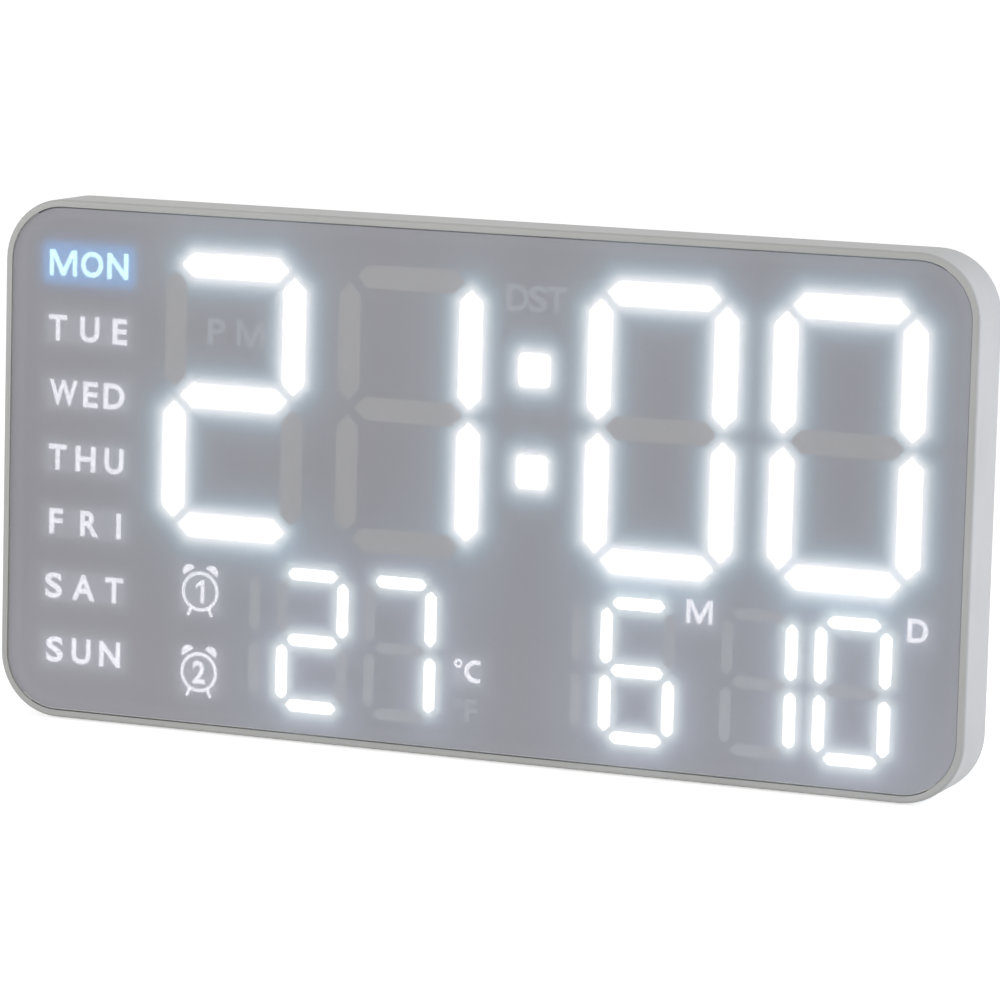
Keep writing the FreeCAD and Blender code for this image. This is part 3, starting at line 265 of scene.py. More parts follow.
def smoked_panel():
    """The see-through grey front panel: a faint grain, and painted light that makes its colour a little
    paler near its foot, offsetting the shade along its lower part.
    """
    material, tree, shader = node_material("smoked_panel")
    texture = object_noise(tree, scale=1800, detail=2)
    place = tree.nodes.new("ShaderNodeTexCoord")
    split = tree.nodes.new("ShaderNodeSeparateXYZ")
    link(tree, place, "Generated", split, "Vector")
    # Painted light: the colour is raised towards the panel's foot, offsetting the shade along its lower
    # part
    foot = tree.nodes.new("ShaderNodeMapRange")
    foot.interpolation_type = "SMOOTHSTEP"
    foot.inputs["From Max"].default_value = 0.42
    foot.inputs["To Min"].default_value = PANEL_FOOT_PAINTED_LIGHT
    foot.inputs["To Max"].default_value = 1.0
    link(tree, split, "Z", foot, "Value")
    ramp = tree.nodes.new("ShaderNodeValToRGB")
    ramp.color_ramp.elements[0].color = (*[c * 0.98 for c in PANEL_COLOUR], 1)
    ramp.color_ramp.elements[1].color = (*[c * 1.02 for c in PANEL_COLOUR], 1)
    link(tree, texture, "Fac", ramp, "Fac")
    scaled = tree.nodes.new("ShaderNodeVectorMath")
    scaled.operation = "SCALE"
    link(tree, ramp, "Color", scaled, "Vector")
    link(tree, foot, "Result", scaled, "Scale")
    link(tree, scaled, "Vector", shader, "Base Color")
    roughness_between(tree, texture, 0.30, 0.36, shader)
    shader.inputs["Alpha"].default_value = PANEL_ALPHA
    shader.inputs["Specular IOR Level"].default_value = 0.35
    return material


def glowing_sheet(name, colour, own_light, grain=700):
    """A grey sheet or insert that scatters the light of the lit bars near it."""
    material, tree, shader = node_material(name)
    texture = object_noise(tree, scale=grain, detail=3)
    shade_between(tree, texture, [c * 0.98 for c in colour], [c * 1.02 for c in colour], shader)
    roughness_between(tree, texture, 0.6, 0.75, shader)
    glow = tree.nodes.new("ShaderNodeAttribute")
    glow.attribute_name = "glow"
    total = tree.nodes.new("ShaderNodeVectorMath")
    total.operation = "ADD"
    total.inputs[1].default_value = own_light
    link(tree, glow, "Color", total, 0)
    link(tree, total, "Vector", shader, "Emission Color")
    shader.inputs["Emission Strength"].default_value = THROUGH_PANEL
    return material


def circuit_board():
    """Solder mask with faint tracks under it."""
    material, tree, shader = node_material("circuit_board")
    place = tree.nodes.new("ShaderNodeTexCoord")
    tracks = tree.nodes.new("ShaderNodeTexVoronoi")
    tracks.distance = "MANHATTAN"
    tracks.inputs["Scale"].default_value = 220
    link(tree, place, "Object", tracks, "Vector")
    ramp = tree.nodes.new("ShaderNodeValToRGB")
    ramp.color_ramp.elements[0].color = (0.03, 0.20, 0.08, 1)
    ramp.color_ramp.elements[1].color = (0.02, 0.13, 0.05, 1)
    link(tree, tracks, "Distance", ramp, "Fac")
    link(tree, ramp, "Color", shader, "Base Color")
    shader.inputs["Roughness"].default_value = 0.35
    return material


FRAME_COLOUR = (0.51, 0.51, 0.495)
COVER_COLOUR = (0.45, 0.45, 0.445)
DIFFUSER_COLOUR = (0.72, 0.72, 0.70)
SHEET_COLOUR = (0.55, 0.55, 0.60)
PANEL_COLOUR = (0.470, 0.465, 0.505)
PANEL_ALPHA = 0.65
# How much painted light raises the panel's colour at its foot, against the shade there
PANEL_FOOT_PAINTED_LIGHT = 1.14
# What a light behind the panel is raised by, because both faces of the panel hold it back
THROUGH_PANEL = 1 / (1 - PANEL_ALPHA) ** 2
frame_plastic = plastic("frame_plastic", FRAME_COLOUR, spread=0.03, roughness=0.42)
cover_plastic = plastic(
    "cover_plastic", COVER_COLOUR, spread=0.02, roughness=0.5, grain=1600, grain_height=0.05 * MM)
leg_plastic = plastic("leg_plastic", COVER_COLOUR, roughness=0.46, grain=2000, grain_height=0.03 * MM)
# A pale gloss film that paints the highlight along the lens's lower edge
edge_highlight_plastic = plastic("painted_edge_highlight", (0.50, 0.50, 0.51), roughness=0.3)
key_plastic = plastic("key_plastic", (0.075, 0.075, 0.08), roughness=0.4, grain=2400)
black_plastic = plastic("black_plastic", (0.015, 0.015, 0.015), roughness=0.5)
white_plastic = plastic("white_plastic", (0.78, 0.78, 0.77), roughness=0.5, grain=1800)
unlit_big = glowing_sheet("unlit_diffuser", DIFFUSER_COLOUR, (0.045, 0.047, 0.038), grain=1200)
unlit_small = glowing_sheet("unlit_small_diffuser", DIFFUSER_COLOUR, (0.046, 0.057, 0.055), grain=1200)
led_resin = plastic("led_resin", (0.75, 0.66, 0.30), roughness=0.3, grain=1500)
screw_steel = brushed_metal("screw_steel", (0.55, 0.55, 0.56))
plated_metal = brushed_metal("plated_metal", (0.66, 0.65, 0.62), roughness=0.22, stretch=(9, 1, 1))
pad_rubber = rubber("pad_rubber", (0.018, 0.018, 0.018))
legend_ink = plastic("legend_ink", (0.05, 0.05, 0.055), roughness=0.6, grain=3000)
bar_light = lit("bar_light", (0.97, 0.99, 1.0), 1.3 * THROUGH_PANEL)
word_light = lit("word_light", (0.95, 0.96, 1.0), 0.44 * THROUGH_PANEL)
day_light = lit("day_light", (0.48, 0.84, 1.0), 0.72 * THROUGH_PANEL)
ghost_ink = glowing_sheet("ghost_ink", (0.66, 0.67, 0.68), (0.050, 0.061, 0.066), grain=1200)


# Shapes

def rounded_corners(points, radius, steps=4):
    """The outline with each corner replaced by a short arc."""
    count = len(points)
    outline = []
    for i, corner in enumerate(points):
        corner = Vector(corner)
        before = (Vector(points[i - 1]) - corner).normalized()
        after = (Vector(points[(i + 1) % count]) - corner).normalized()
        half_angle = before.angle(after) / 2
        reach = radius / math.tan(half_angle)
        centre = corner + (before + after).normalized() * (radius / math.sin(half_angle))
        start = corner + before * reach - centre
        turn = math.pi - 2 * half_angle
        sign = 1 if before.x * after.y - before.y * after.x < 0 else -1
        for step in range(steps + 1):
            angle = sign * turn * step / steps
            cos, sin = math.cos(angle), math.sin(angle)
            x = centre.x + start.x * cos - start.y * sin
            z = centre.y + start.x * sin + start.y * cos
            outline.append((x, z))
    return outline


def circle(radius, x=0.0, z=0.0, steps=48, start=0.0, end=2 * math.pi):
    closed = abs(end - start - 2 * math.pi) < 1e-6
    count = steps if closed else steps + 1
    turns = [start + (end - start) * i / steps for i in range(count)]
    return [(x + radius * math.cos(t), z + radius * math.sin(t)) for t in turns]


def add_plate(mesh, outline, front, back, slot=0, round_by=0.0):
    """Adds a closed plate between two places along Y, with its front edge eased by round_by."""
    count = len(outline)
    centre = sum((Vector(p) for p in outline), Vector((0, 0))) / count
    levels = [(back, 0.0), (front, 0.0)]
    if round_by:
        levels = [(back, 0.0), (front + round_by, 0.0), (front, round_by)]
    rings = []
    for depth, inset in levels:
        ring = []
        for point in outline:
            offset = Vector(point) - centre
            place = centre + offset * (1 - inset / max(offset.length, 1e-9))
            ring.append(mesh.verts.new((place.x, depth, place.y)))
        rings.append(ring)
    faces = [mesh.faces.new(rings[0]), mesh.faces.new(rings[-1][::-1])]
    for lower, upper in zip(rings, rings[1:]):
        for i in range(count):
            j = (i + 1) % count
            faces.append(mesh.faces.new((lower[i], upper[i], upper[j], lower[j])))
    for face in faces:
        face.material_index = slot


def add_loops(mesh, loops, is_kept=None):
    """Joins outlines of equally many points, each at its depth, into a closed ring or parts of one."""
    rings = [[mesh.verts.new((x, depth, z)) for x, z in outline] for outline, depth in loops]
    pairs = list(zip(rings, rings[1:] + rings[:1]))
    count = len(rings[0])
    kept = [is_kept is None or is_kept(*point) for point in loops[0][0]]
    for i in range(count):
        j = (i + 1) % count
        if kept[i] and kept[j]:
            for one, other in pairs:
                mesh.faces.new((one[i], one[j], other[j], other[i]))
        elif kept[i] or kept[j]:
            mesh.faces.new([ring[i if kept[i] else j] for ring in rings])
    bmesh.ops.delete(mesh, geom=[v for v in mesh.verts if not v.link_faces], context="VERTS")


def add_ring(mesh, outer, inner, front, back):
    """Adds a closed plate with one hole; both outlines have the same number of points."""
    add_loops(mesh, [(outer, front), (outer, back), (inner, back), (inner, front)])


def face_outline(inset):
    """The lens's outline in short steps, made smaller by an inset."""
    corner_x, corner_z = LENS_HALF_WIDTH - LENS_RADIUS, LENS_HALF_HEIGHT - LENS_RADIUS
    radius = LENS_RADIUS - inset
    coarse = []
    for turn, (side_x, side_z) in enumerate(((1, 1), (-1, 1), (-1, -1), (1, -1))):
        start = math.pi / 2 * turn
        x = side_x * corner_x
        z = FACE_Z + side_z * corner_z
        coarse += circle(radius, x, z, 24, start, start + math.pi / 2)
    outline = []
    for start, end in zip(coarse, coarse[1:] + coarse[:1]):
        steps = max(1, round(math.dist(start, end) / MM))
        for i in range(steps):
            share = i / steps
            x = start[0] + (end[0] - start[0]) * share
            z = start[1] + (end[1] - start[1]) * share
            outline.append((x, z))
    return outline


def finish_piece(name, mesh, materials, replaced=()):
    """Turns a bmesh into a piece that rides on the housing."""
    bmesh.ops.recalc_face_normals(mesh, faces=mesh.faces)
    data = bpy.data.meshes.new(name)
    mesh.to_mesh(data)
    mesh.free()
    piece = bpy.data.objects.new(name, data)
    for material in materials:
        data.materials.append(material)
    scene.collection.objects.link(piece)
    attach(piece, "housing")
    if replaced:
        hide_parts(*replaced)
    return piece


# Display bars

# The outlines of the lit bars and dots, each with its kind
lit_outlines = []


def bar_outline(x, z, half_length, half_stroke, upright, soft):
    """One bar of a figure: a hexagon with slightly softened points."""
    shoulder = half_length - half_stroke
    points = [
        (-half_length, 0), (-shoulder, -half_stroke), (shoulder, -half_stroke),
        (half_length, 0), (shoulder, half_stroke), (-shoulder, half_stroke),
    ]
    if upright:
        points = [(-b, a) for a, b in points]
    return rounded_corners([(x + a, z + b) for a, b in points], soft)


def bar_places(half_width, half_height):
    return {
        "a": (0, half_height, False), "g": (0, 0, False), "d": (0, -half_height, False),
        "f": (-half_width, half_height / 2, True), "b": (half_width, half_height / 2, True),
        "e": (-half_width, -half_height / 2, True), "c": (half_width, -half_height / 2, True),
    }


def add_bar(mesh, x, z, half_length, upright, sizes, is_lit):
    half_stroke = sizes["stroke"] / 2
    outline = bar_outline(x, z, half_length, half_stroke, upright, sizes["soft"])
    add_plate(mesh, outline, BAR_FRONT, BAR_BACK, 0 if is_lit else 1, BAR_FRONT_ROUND)
    if is_lit:
        lit_outlines.append((outline, sizes))


def make_figure(node, sizes, lit_bars):
    low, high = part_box(node)
    middle_x = (low.x + high.x) / 2
    middle_z = (low.z + high.z) / 2
    half_width = (high.x - low.x - sizes["stroke"]) / 2
    half_height = (high.z - low.z - sizes["stroke"]) / 2
    mesh = bmesh.new()
    for letter, (x, z, upright) in bar_places(half_width, half_height).items():
        half_length = (half_height / 2 if upright else half_width) - sizes["tip_gap"]
        add_bar(mesh, middle_x + x, middle_z + z, half_length, upright, sizes, letter in lit_bars)
    name = node.replace("_segments", "_bars")
    unlit = unlit_big if sizes is BIG else unlit_small
    finish_piece(name, mesh, [bar_light, unlit], replaced=[node])


def make_upright_pair(node):
    low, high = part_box(node)
    middle_x = (low.x + high.x) / 2
    half_length = (high.z - low.z - 2 * SMALL["tip_gap"]) / 4
    mesh = bmesh.new()
    for z in (low.z + half_length, high.z - half_length):
        add_bar(mesh, middle_x, z, half_length, True, SMALL, False)
    name = node.replace("_segments", "_bars")
    finish_piece(name, mesh, [bar_light, unlit_small], replaced=[node])


def add_colon_glow():
    low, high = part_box("colon_dots")
    side = high.x - low.x
    for z in (low.z, high.z - side):
        corners = [(low.x, z), (high.x, z), (high.x, z + side), (low.x, z + side)]
        lit_outlines.append((rounded_corners(corners, COLON_CORNER), BIG))


# Words and symbols

def letter_outline(character, width, height):
    """The points and faces of one letter, scaled to its size, with its lower left corner at the origin."""
    curve = bpy.data.curves.new("letter", "FONT")
    curve.body = character
    curve.offset = LETTER_WEIGHT
    curve.resolution_u = 6
    holder = bpy.data.objects.new("letter", curve)
    scene.collection.objects.link(holder)
    bpy.context.view_layer.update()
    evaluated = holder.evaluated_get(bpy.context.evaluated_depsgraph_get())
    flat = bpy.data.meshes.new_from_object(evaluated)
    bpy.data.objects.remove(holder)
    xs = [v.co.x for v in flat.vertices]
    ys = [v.co.y for v in flat.vertices]
    scale_x = width / (max(xs) - min(xs))
    scale_z = height / (max(ys) - min(ys))
    points = [((v.co.x - min(xs)) * scale_x, (v.co.y - min(ys)) * scale_z) for v in flat.vertices]
    faces = [tuple(p.vertices) for p in flat.polygons]
    bpy.data.meshes.remove(flat)
    return points, faces


def open_oval(left, radius_x, radius_z, cut, middle, steps=24):
    """The part of an oval that lies left of an upright cut, from its upper end to its lower one."""
    centre = left + radius_x
    start = math.acos((cut - centre) / radius_x)
    turns = [start + 2 * (math.pi - start) * i / steps for i in range(steps + 1)]
    return [(centre + radius_x * math.cos(t), middle + radius_z * math.sin(t)) for t in turns]


def drawn_letter(character, width, height):
    """The outline of a letter that the built-in font can't thicken cleanly, or None."""
    stem = 0.175 * height
    if character == "M":
        left = [(0, 0), (stem, 0), (stem, 0.74 * height), (width / 2 - 0.42 * stem, 0)]
        top = [
            (width, height), (width - 1.35 * stem, height), (width / 2, 0.30 * height),
            (1.35 * stem, height), (0, height),
        ]
        return left + [(width - x, z) for x, z in reversed(left)] + top
    if character == "1":
        return [
            (width - stem, 0), (width, 0), (width, height), (width - 0.9 * stem, height),
            (0, 0.80 * height), (0, 0.63 * height), (width - stem, 0.80 * height),
        ]
    if character == "C":
        middle = height / 2
        outer = open_oval(0, 0.535 * height, middle, width, middle)
        inner = open_oval(1.23 * stem, 0.388 * height, middle - 1.08 * stem, width, middle)
        return outer + inner[::-1]
    return None


def add_letter(mesh, character, left, base, height, front, back, mirrored=False):
    """Adds a letter as a thin closed plate. A mirrored one is read from behind."""
    width = LETTER_WIDTHS[character] * height
    drawn = drawn_letter(character, width, height)
    if drawn:
        points, faces = drawn, [tuple(range(len(drawn)))]
    else:
        points, faces = letter_outline(character, width, height)
    if mirrored:
        points = [(width - x, z) for x, z in points]
    rear = [mesh.verts.new((left + x, back, base + z)) for x, z in points]
    made = [mesh.faces.new([rear[i] for i in face]) for face in faces]
    bmesh.ops.remove_doubles(mesh, verts=rear, dist=1e-7)
    made = [face for face in made if face.is_valid]
    grown = bmesh.ops.extrude_face_region(mesh, geom=made)
    moved = [v for v in grown["geom"] if isinstance(v, bmesh.types.BMVert)]
    bmesh.ops.translate(mesh, verts=moved, vec=(0, front - back, 0))


def word_widths(word, height):
    return [LETTER_WIDTHS[c] * height for c in word]


def add_word(mesh, word, left, right, base, height, front, back, mirrored=False):
    """Adds a word whose letters fill the room from left to right with even gaps."""
    widths = word_widths(word, height)
    gap = (right - left - sum(widths)) / max(len(word) - 1, 1)
    x = left
    order = list(zip(word, widths))
    if mirrored:
        order.reverse()
    for character, width in order:
        add_letter(mesh, character, x, base, height, front, back, mirrored=mirrored)
        x += width + gap


# The box of each lit word or sign as left, right, low and high, and whether it is the lit weekday
word_glows = []


def make_weekdays():
    for row, (word, inset) in enumerate(WEEKDAYS):
        middle = FACE_Z + WEEKDAY_TOP - WEEKDAY_PITCH * row
        low, high = middle - CAP_HEIGHT / 2, middle + CAP_HEIGHT / 2
        left, right = WEEKDAY_LEFT + inset, WEEKDAY_RIGHT - inset
        is_today = word == LIT_WEEKDAY
        ink = day_light if is_today else word_light
        mesh = bmesh.new()
        add_word(mesh, word, left, right, low, CAP_HEIGHT, INK_FRONT, MASK_FRONT)
        finish_piece(f"weekday_{row + 1}_letters", mesh, [ink])
        word_glows.append(((WEEKDAY_LEFT, WEEKDAY_RIGHT, low, high), is_today))


def thick_line(start, end, half_width):
    """The outline of a straight stroke with square ends."""
    a, b = Vector(start), Vector(end)
    along = (b - a).normalized() * half_width
    across = Vector((-along.y, along.x))
    return [tuple(a + across), tuple(a - across), tuple(b - across), tuple(b + across)]


def make_alarm(x, z, figure):
    """An alarm bell sign: a ring with two bells, two feet and its number."""
    middle = FACE_Z + z
    outer = circle(ALARM_RING + ALARM_STROKE / 2, x, middle)
    inner = circle(ALARM_RING - ALARM_STROKE / 2, x, middle)
    mesh = bmesh.new()
    add_ring(mesh, outer, inner, INK_FRONT, MASK_FRONT)
    for side in (-1, 1):
        lean = math.radians(90 - side * BELL_LEAN)
        bell_x = x + math.cos(lean) * BELL_REACH
        bell_z = middle + math.sin(lean) * BELL_REACH
        bell = circle(BELL_RADIUS, bell_x, bell_z, 20, lean - math.pi / 2, lean + math.pi / 2)
        add_plate(mesh, bell, INK_FRONT, MASK_FRONT)
        top = (x + side * FOOT_TOP[0], middle - FOOT_TOP[1])
        tip = (x + side * FOOT_TIP[0], middle - FOOT_TIP[1])
        add_plate(mesh, thick_line(top, tip, FOOT_HALF_STROKE), INK_FRONT, MASK_FRONT)
    height = ALARM_FIGURE_HEIGHT
    width = LETTER_WIDTHS[figure] * height
    add_letter(mesh, figure, x - width / 2, middle - height / 2, height, INK_FRONT, MASK_FRONT)
    finish_piece(f"alarm_{figure}_symbol", mesh, [word_light])
    box = (x - ALARM_RING, x + ALARM_RING, middle - ALARM_RING, middle + ALARM_RING)
    word_glows.append((box, False))


def make_unit_sign(name, letter, left, middle, ring_place, is_lit):
    """A letter with a small degree ring before it."""
    base = FACE_Z + middle - MARK_HEIGHT / 2
    ring_x, ring_z = ring_place[0], FACE_Z + ring_place[1]
    outer = circle(DEGREE_OUTER, ring_x, ring_z, 32)
    inner = circle(DEGREE_INNER, ring_x, ring_z, 32)
    mesh = bmesh.new()
    add_letter(mesh, letter, left, base, MARK_HEIGHT, INK_FRONT, MASK_FRONT)
    add_ring(mesh, outer, inner, INK_FRONT, MASK_FRONT)
    finish_piece(name, mesh, [word_light if is_lit else ghost_ink])
    if is_lit:
        word_glows.append(((UNIT_GLOW_LEFT, UNIT_GLOW_RIGHT, base, base + MARK_HEIGHT), False))


def make_date_marks():
    for name, letter, x, z in DATE_MARKS:
        width = LETTER_WIDTHS[letter] * MARK_HEIGHT
        left, right = x - width / 2, x + width / 2
        base = FACE_Z + z - MARK_HEIGHT / 2
        mesh = bmesh.new()
        add_letter(mesh, letter, left, base, MARK_HEIGHT, INK_FRONT, MASK_FRONT)
        finish_piece(name, mesh, [word_light])
        word_glows.append(((left, right, base, base + MARK_HEIGHT), False))


def make_dark_words():
    for name, word, x, z, width in DARK_WORDS:
        base = FACE_Z + z - CAP_HEIGHT / 2
        mesh = bmesh.new()
        add_word(mesh, word, x - width / 2, x + width / 2, base, CAP_HEIGHT, INK_FRONT, MASK_FRONT)
        finish_piece(name, mesh, [ghost_ink])


# Mask with the light that the lit bars scatter

MASK_STEP = 0.5 * MM
# How far the sheet reaches past the node that it replaces, and the radius of its corners
MASK_MARGIN = 0.25 * MM
MASK_CORNER = 10.9 * MM
MARGIN_WIDTH = 2.7 * MM
MARGIN_STEPS = 4
MARGIN_LIFT = 0.01 * MM
# The strips beside the lens: how far in from its outline they begin and end, how deep they lie behind
# its front, and how far in from its left and right they run
SEAL_INSETS = (-0.27 * MM, -0.02 * MM)
SEAL_DEPTH = 0.12 * MM
SEAL_REACH = 7 * MM
# The painted highlight along the lens's lower edge, a pale film in front of it: how far in it begins and
# ends, its thickness, and how far up it runs
EDGE_INSETS = (0.01 * MM, 0.30 * MM)
EDGE_THICKNESS = 0.02 * MM
EDGE_REACH = 4 * MM
# Beyond this distance a lit bar adds next to no light
GLOW_REACH = 40 * MM


def distance_to_outline(x, z, outline):
    """The distance to a convex outline from outside it, and 0 inside it."""
    nearest = np.full(x.shape, 1.0)
    inside = np.ones(x.shape, bool)
    for start, end in zip(outline, outline[1:] + outline[:1]):
        along = np.array(end) - np.array(start)
        from_x, from_z = x - start[0], z - start[1]
        share = np.clip((from_x * along[0] + from_z * along[1]) / float(along @ along), 0, 1)
        gap = np.hypot(from_x - share * along[0], from_z - share * along[1])
        nearest = np.minimum(nearest, gap)
        inside &= along[0] * from_z - along[1] * from_x >= 0
    return np.where(inside, 0.0, nearest)


def distance_to_bars(x, z, kind):
    """The distance to the nearest lit bar of one kind, worked out only near each bar."""
    nearest = np.full(x.shape, GLOW_REACH)
    for outline, sizes in lit_outlines:
        if sizes is not kind:
            continue
        xs, zs = zip(*outline)
        box = (min(xs), max(xs), min(zs), max(zs))
        near = distance_to_box(x, z, box) < GLOW_REACH
        nearest[near] = np.minimum(nearest[near], distance_to_outline(x[near], z[near], outline))
    return nearest


def distance_to_box(x, z, box):
    """The distance to an upright box from outside it, and 0 inside it."""
    left, right, low, high = box
    gap_x = np.maximum(np.maximum(left - x, x - right), 0)
    gap_z = np.maximum(np.maximum(low - z, z - high), 0)
    return np.hypot(gap_x, gap_z)


def glow_at(x, z):
    """The scattered light at each place on the mask, as red, green and blue."""
    glow = np.zeros((len(x), 3))
    for kind in (BIG, SMALL):
        gap = distance_to_bars(x, z, kind) / MM
        for level, reach, power, colour in kind["glow"]:
            glow += (level * np.exp(-(gap / reach) ** power))[:, None] * np.array(colour)
    for box, is_today in word_glows:
        gap = distance_to_box(x, z, box) / MM
        if is_today:
            reach, softness, colour = DAY_GLOW
            share = 1 / (1 + np.exp((gap - reach) / softness))
        else:
            level, reach, colour = WORD_GLOW
            share = level * np.exp(-gap / reach)
        glow += share[:, None] * np.array(colour)
    return glow


def keep_glow(piece):
    """Stores the scattered light at each corner of a piece, for its material."""
    count = len(piece.data.vertices)
    places = np.zeros(count * 3)
    piece.data.vertices.foreach_get("co", places)
    places = places.reshape(-1, 3)
    colours = np.ones((count, 4))
    colours[:, :3] = glow_at(places[:, 0], places[:, 2])
    attribute = piece.data.attributes.new("glow", "FLOAT_COLOR", "POINT")
    attribute.data.foreach_set("color", colours.ravel())


def make_mask():
    """A fine grid, so that the scattered light can fade smoothly; its corners are round like the node's."""
    half_x = (MASK_HIGH.x - MASK_LOW.x) / 2 + MASK_MARGIN
    half_z = (MASK_HIGH.z - MASK_LOW.z) / 2 + MASK_MARGIN
    columns = int(2 * half_x / MASK_STEP)
    rows = int(2 * half_z / MASK_STEP)
    mesh = bmesh.new()
    grid = []
    for row in range(rows + 1):
        z = -half_z + 2 * half_z * row / rows
        over = max(abs(z) - (half_z - MASK_CORNER), 0.0)
        reach = half_x - MASK_CORNER + math.sqrt(max(MASK_CORNER ** 2 - over ** 2, 0.0))
        line = []
        for column in range(columns + 1):
            x = -reach + 2 * reach * column / columns
            line.append(mesh.verts.new((x, MASK_LOW.y, FACE_Z + z)))
        grid.append(line)
    for below, above in zip(grid, grid[1:]):
        for i in range(columns):
            mesh.faces.new((below[i], below[i + 1], above[i + 1], above[i]))
    right_side = [line[-1] for line in grid[1:-1]]
    left_side = [line[0] for line in grid[-2:0:-1]]
    rim = grid[0] + right_side + grid[-1][::-1] + left_side
    rear = [mesh.verts.new((v.co.x, MASK_HIGH.y, v.co.z)) for v in rim]
    for i in range(len(rim)):
        j = (i + 1) % len(rim)
        mesh.faces.new((rim[i], rear[i], rear[j], rim[j]))
    mesh.faces.new(rear)
    mask_sheet = glowing_sheet("mask_sheet", SHEET_COLOUR, (0, 0, 0))
    piece = finish_piece("lit_mask", mesh, [mask_sheet], replaced=["display_mask"])
    keep_glow(piece)


def make_margin():
    """The film round the mask, behind the edge of the lens, which catches the last of the light and has a
    little painted light of its own against the shade that the rim casts on it.
    """
    low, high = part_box("lens_gasket")
    front = low.y + MARGIN_LIFT
    outlines = [face_outline(MARGIN_WIDTH * i / MARGIN_STEPS) for i in range(MARGIN_STEPS + 1)]
    loops = [(outline, front) for outline in outlines]
    loops += [(outlines[-1], high.y), (outlines[0], high.y)]
    mesh = bmesh.new()
    add_loops(mesh, loops)
    # Its own light is painted light that lifts the shade which the frame's rim casts on this recessed film
    margin_sheet = glowing_sheet("margin_sheet", SHEET_COLOUR, (0.012, 0.012, 0.012))
    piece = finish_piece("lens_margin", mesh, [margin_sheet], replaced=["lens_gasket"])
    keep_glow(piece)


def add_lens_strip(mesh, insets, front, back, is_kept):
    """Adds the parts of a thin band along the lens's outline that is_kept picks."""
    outer, inner = [face_outline(inset) for inset in insets]
    add_loops(mesh, [(outer, front), (outer, back), (inner, back), (inner, front)], is_kept)


def make_lens_trim():
    """Pale strips in the gap at the lens's left and right, and a painted highlight along its lower edge."""
    side_begins = LENS_HALF_WIDTH - SEAL_REACH
    front = LENS_LOW.y + SEAL_DEPTH
    mesh = bmesh.new()
    add_lens_strip(mesh, SEAL_INSETS, front, LENS_HIGH.y, lambda x, z: abs(x) > side_begins)
    finish_piece("lens_edge_seals", mesh, [frame_plastic])
    # The painted highlight: a thin pale film on the lens's front along its lower edge
    foot_ends = FACE_Z - LENS_HALF_HEIGHT + EDGE_REACH
    front = LENS_LOW.y - EDGE_THICKNESS
    mesh = bmesh.new()
    add_lens_strip(mesh, EDGE_INSETS, front, LENS_LOW.y, lambda x, z: z < foot_ends)
    finish_piece("lens_foot_highlight", mesh, [edge_highlight_plastic])


# Back details

def make_key_legends():
    """Small printed names under the keys, read from behind."""
    height = KEY_NAME_HEIGHT
    ink_back = COVER_BACK + KEY_NAME_THICKNESS
    for node, word in KEY_NAMES:
        low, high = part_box(node)
        middle = (low.x + high.x) / 2
        reach = (sum(word_widths(word, height)) + KEY_NAME_GAP * (len(word) - 1)) / 2
        left, right = middle - reach, middle + reach
        base = low.z - KEY_NAME_DROP
        mesh = bmesh.new()
        add_word(mesh, word, left, right, base, height, COVER_BACK, ink_back, mirrored=True)
        finish_piece(node.replace("_button", "_legend"), mesh, [legend_ink])


def paint(material, *nodes):
    for name in nodes:
        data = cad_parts[name].data
        data.materials.clear()
        data.materials.append(material)


def paint_frame_nodes():
    paint(frame_plastic, "front_frame")
    paint(smoked_panel(), "display_lens")
    paint(cover_plastic, "rear_cover", "battery_door")
    paint(leg_plastic, "stand_leg")
    paint(key_plastic, "set_button", "up_button", "down_button", "alarm_button", "dimmer_button")
    paint(black_plastic, "controller_chip", "buzzer", "temperature_sensor", "cell_holder", "tact_switches")
    paint(white_plastic, "light_box", "weekday_windows", "symbol_windows")
    paint(bar_light, "colon_dots")
    paint(led_resin, "display_leds")
    paint(circuit_board(), "display_board")
    paint(plated_metal, "clock_crystal", "usb_socket", "coin_cell")
    paint(screw_steel, "cover_screws", "light_box_screws", "board_screws", "stand_pin")
    paint(pad_rubber, "stand_foot_pad", "rubber_feet")


# Stage, lights and camera

def seen_rays(tree):
    """A value that is 1 for what the camera sees, directly or in gloss or through something clear."""
    rays = tree.nodes.new("ShaderNodeLightPath")
    direct = tree.nodes.new("ShaderNodeMath")
    direct.operation = "MAXIMUM"
    link(tree, rays, "Is Camera Ray", direct, 0)
    link(tree, rays, "Is Glossy Ray", direct, 1)
    either = tree.nodes.new("ShaderNodeMath")
    either.operation = "MAXIMUM"
    link(tree, direct, "Value", either, 0)
    link(tree, rays, "Is Transmission Ray", either, 1)
    return either


# What lifts the lit floor to white, and how strongly the surround lights the object
FLOOR_OWN_WHITE = 0.68
SURROUND_LIGHT = 0.45


def floor_material():
    """White to the camera, with the shadow kept; a plain pale surface to everything else."""
    material, tree, shader = node_material("studio_floor")
    shader.inputs["Base Color"].default_value = (0.78, 0.78, 0.78, 1)
    shader.inputs["Roughness"].default_value = 0.9
    shader.inputs["Specular IOR Level"].default_value = 0.0
    white = tree.nodes.new("ShaderNodeEmission")
    seen = seen_rays(tree)
    level = tree.nodes.new("ShaderNodeMath")
    level.operation = "MULTIPLY"
    level.inputs[1].default_value = FLOOR_OWN_WHITE
    link(tree, seen, "Value", level, 0)
    link(tree, level, "Value", white, "Strength")
    both = tree.nodes.new("ShaderNodeAddShader")
    link(tree, shader, "BSDF", both, 0)
    link(tree, white, "Emission", both, 1)
    link(tree, both, "Shader", tree.nodes["Material Output"], "Surface")
    return material


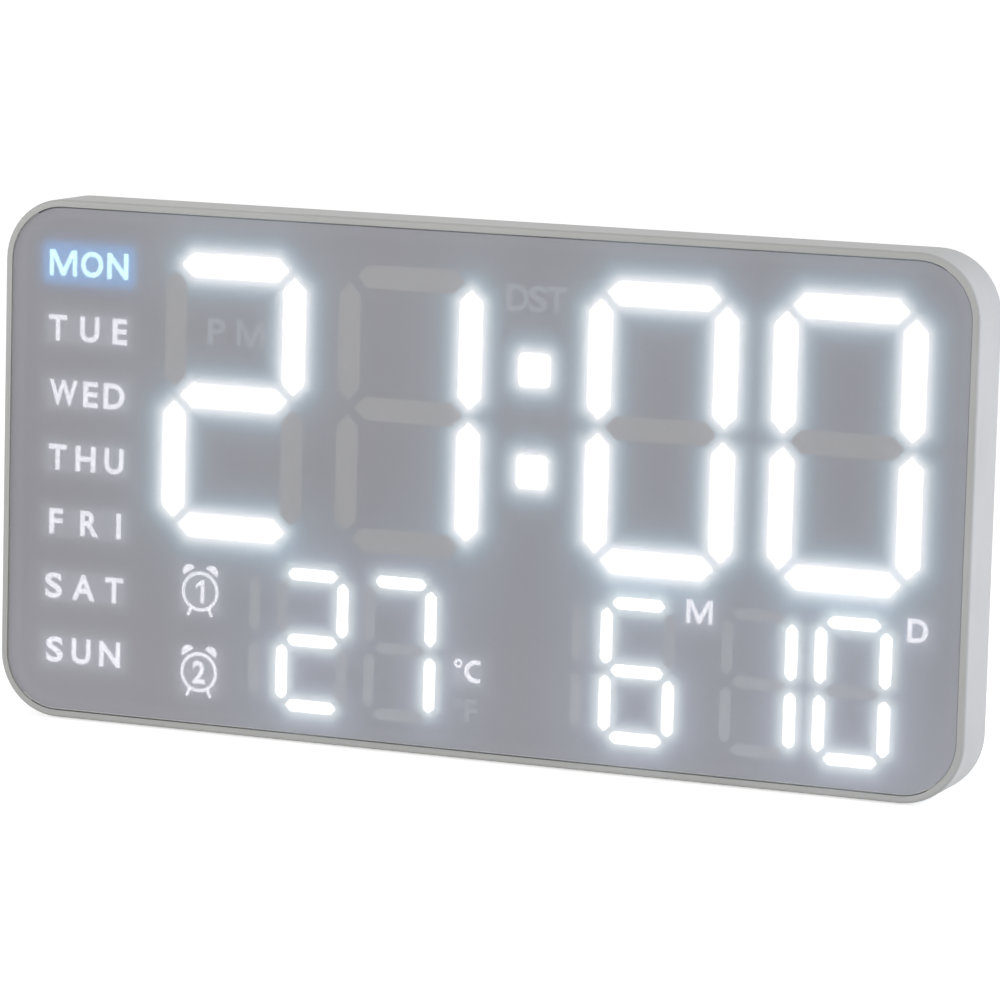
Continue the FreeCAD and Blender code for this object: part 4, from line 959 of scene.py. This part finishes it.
def make_floor():
    mesh = bmesh.new()
    reach = 6.0
    corners = ((-reach, -reach), (reach, -reach), (reach, reach), (-reach, reach))
    mesh.faces.new([mesh.verts.new((x, y, 0)) for x, y in corners])
    data = bpy.data.meshes.new("studio_floor")
    mesh.to_mesh(data)
    mesh.free()
    floor = bpy.data.objects.new("studio_floor", data)
    data.materials.append(floor_material())
    scene.collection.objects.link(floor)


def make_world():
    """A plain pale surround that is white to the camera and gentle to the object."""
    world = bpy.data.worlds.new("studio")
    scene.world = world
    world.use_nodes = True
    tree = world.node_tree
    background = tree.nodes["Background"]
    background.inputs["Color"].default_value = (1, 1, 1, 1)
    level = tree.nodes.new("ShaderNodeMapRange")
    level.inputs["To Min"].default_value = SURROUND_LIGHT
    level.inputs["To Max"].default_value = 1.0
    link(tree, seen_rays(tree), "Value", level, "Value")
    link(tree, level, "Result", background, "Strength")


def area_light(name, place, aim, size, power, colour=(1, 1, 1)):
    data = bpy.data.lights.new(name, "AREA")
    data.shape = "SQUARE"
    data.size = size
    data.energy = power
    data.color = colour
    lamp = bpy.data.objects.new(name, data)
    lamp.location = place
    lamp.rotation_euler = (Vector(aim) - Vector(place)).to_track_quat("-Z", "Y").to_euler()
    scene.collection.objects.link(lamp)


def make_lights():
    middle = (0, 0, FACE_Z)
    cool = (0.92, 0.96, 1.10)
    area_light("right_softbox", (0.72, 0.15, 0.25), middle, size=0.4, power=2.5, colour=cool)
    area_light("top_softbox", (-0.5, 0.1, 1.6), middle, size=1.2, power=0.6)
    area_light("front_softbox", (-1.1, -1.7, 0.4), middle, size=1.4, power=18)


def make_camera():
    """The photograph's place and angle of view, with its slight roll."""
    data = bpy.data.cameras.new("camera")
    data.lens = 189.0
    data.sensor_width = 36.0
    camera = bpy.data.objects.new("camera", data)
    place = Vector((0.49416, -1.19881, 0.24421))
    aim = Vector((0.00816, -0.009, 0.06633))
    roll = Matrix.Rotation(math.radians(1.52), 4, "Z")
    turned = (aim - place).to_track_quat("-Z", "Y").to_matrix().to_4x4() @ roll
    camera.matrix_world = Matrix.Translation(place) @ turned
    scene.collection.objects.link(camera)
    scene.camera = camera


# Everything is built here; the lit bars and words come before the mask that takes up their light
for node, sizes, lit_bars in FIGURES:
    make_figure(node, sizes, lit_bars)
for node in UPRIGHT_PAIRS:
    make_upright_pair(node)
add_colon_glow()
make_weekdays()
for x, z, figure in ALARM_PLACES:
    make_alarm(x, z, figure)
for sign in UNIT_SIGNS:
    make_unit_sign(*sign)
make_date_marks()
make_dark_words()
make_mask()
make_margin()
make_lens_trim()
make_key_legends()
paint_frame_nodes()
make_floor()
make_world()
make_lights()
make_camera()
scene.view_settings.view_transform = "Standard"
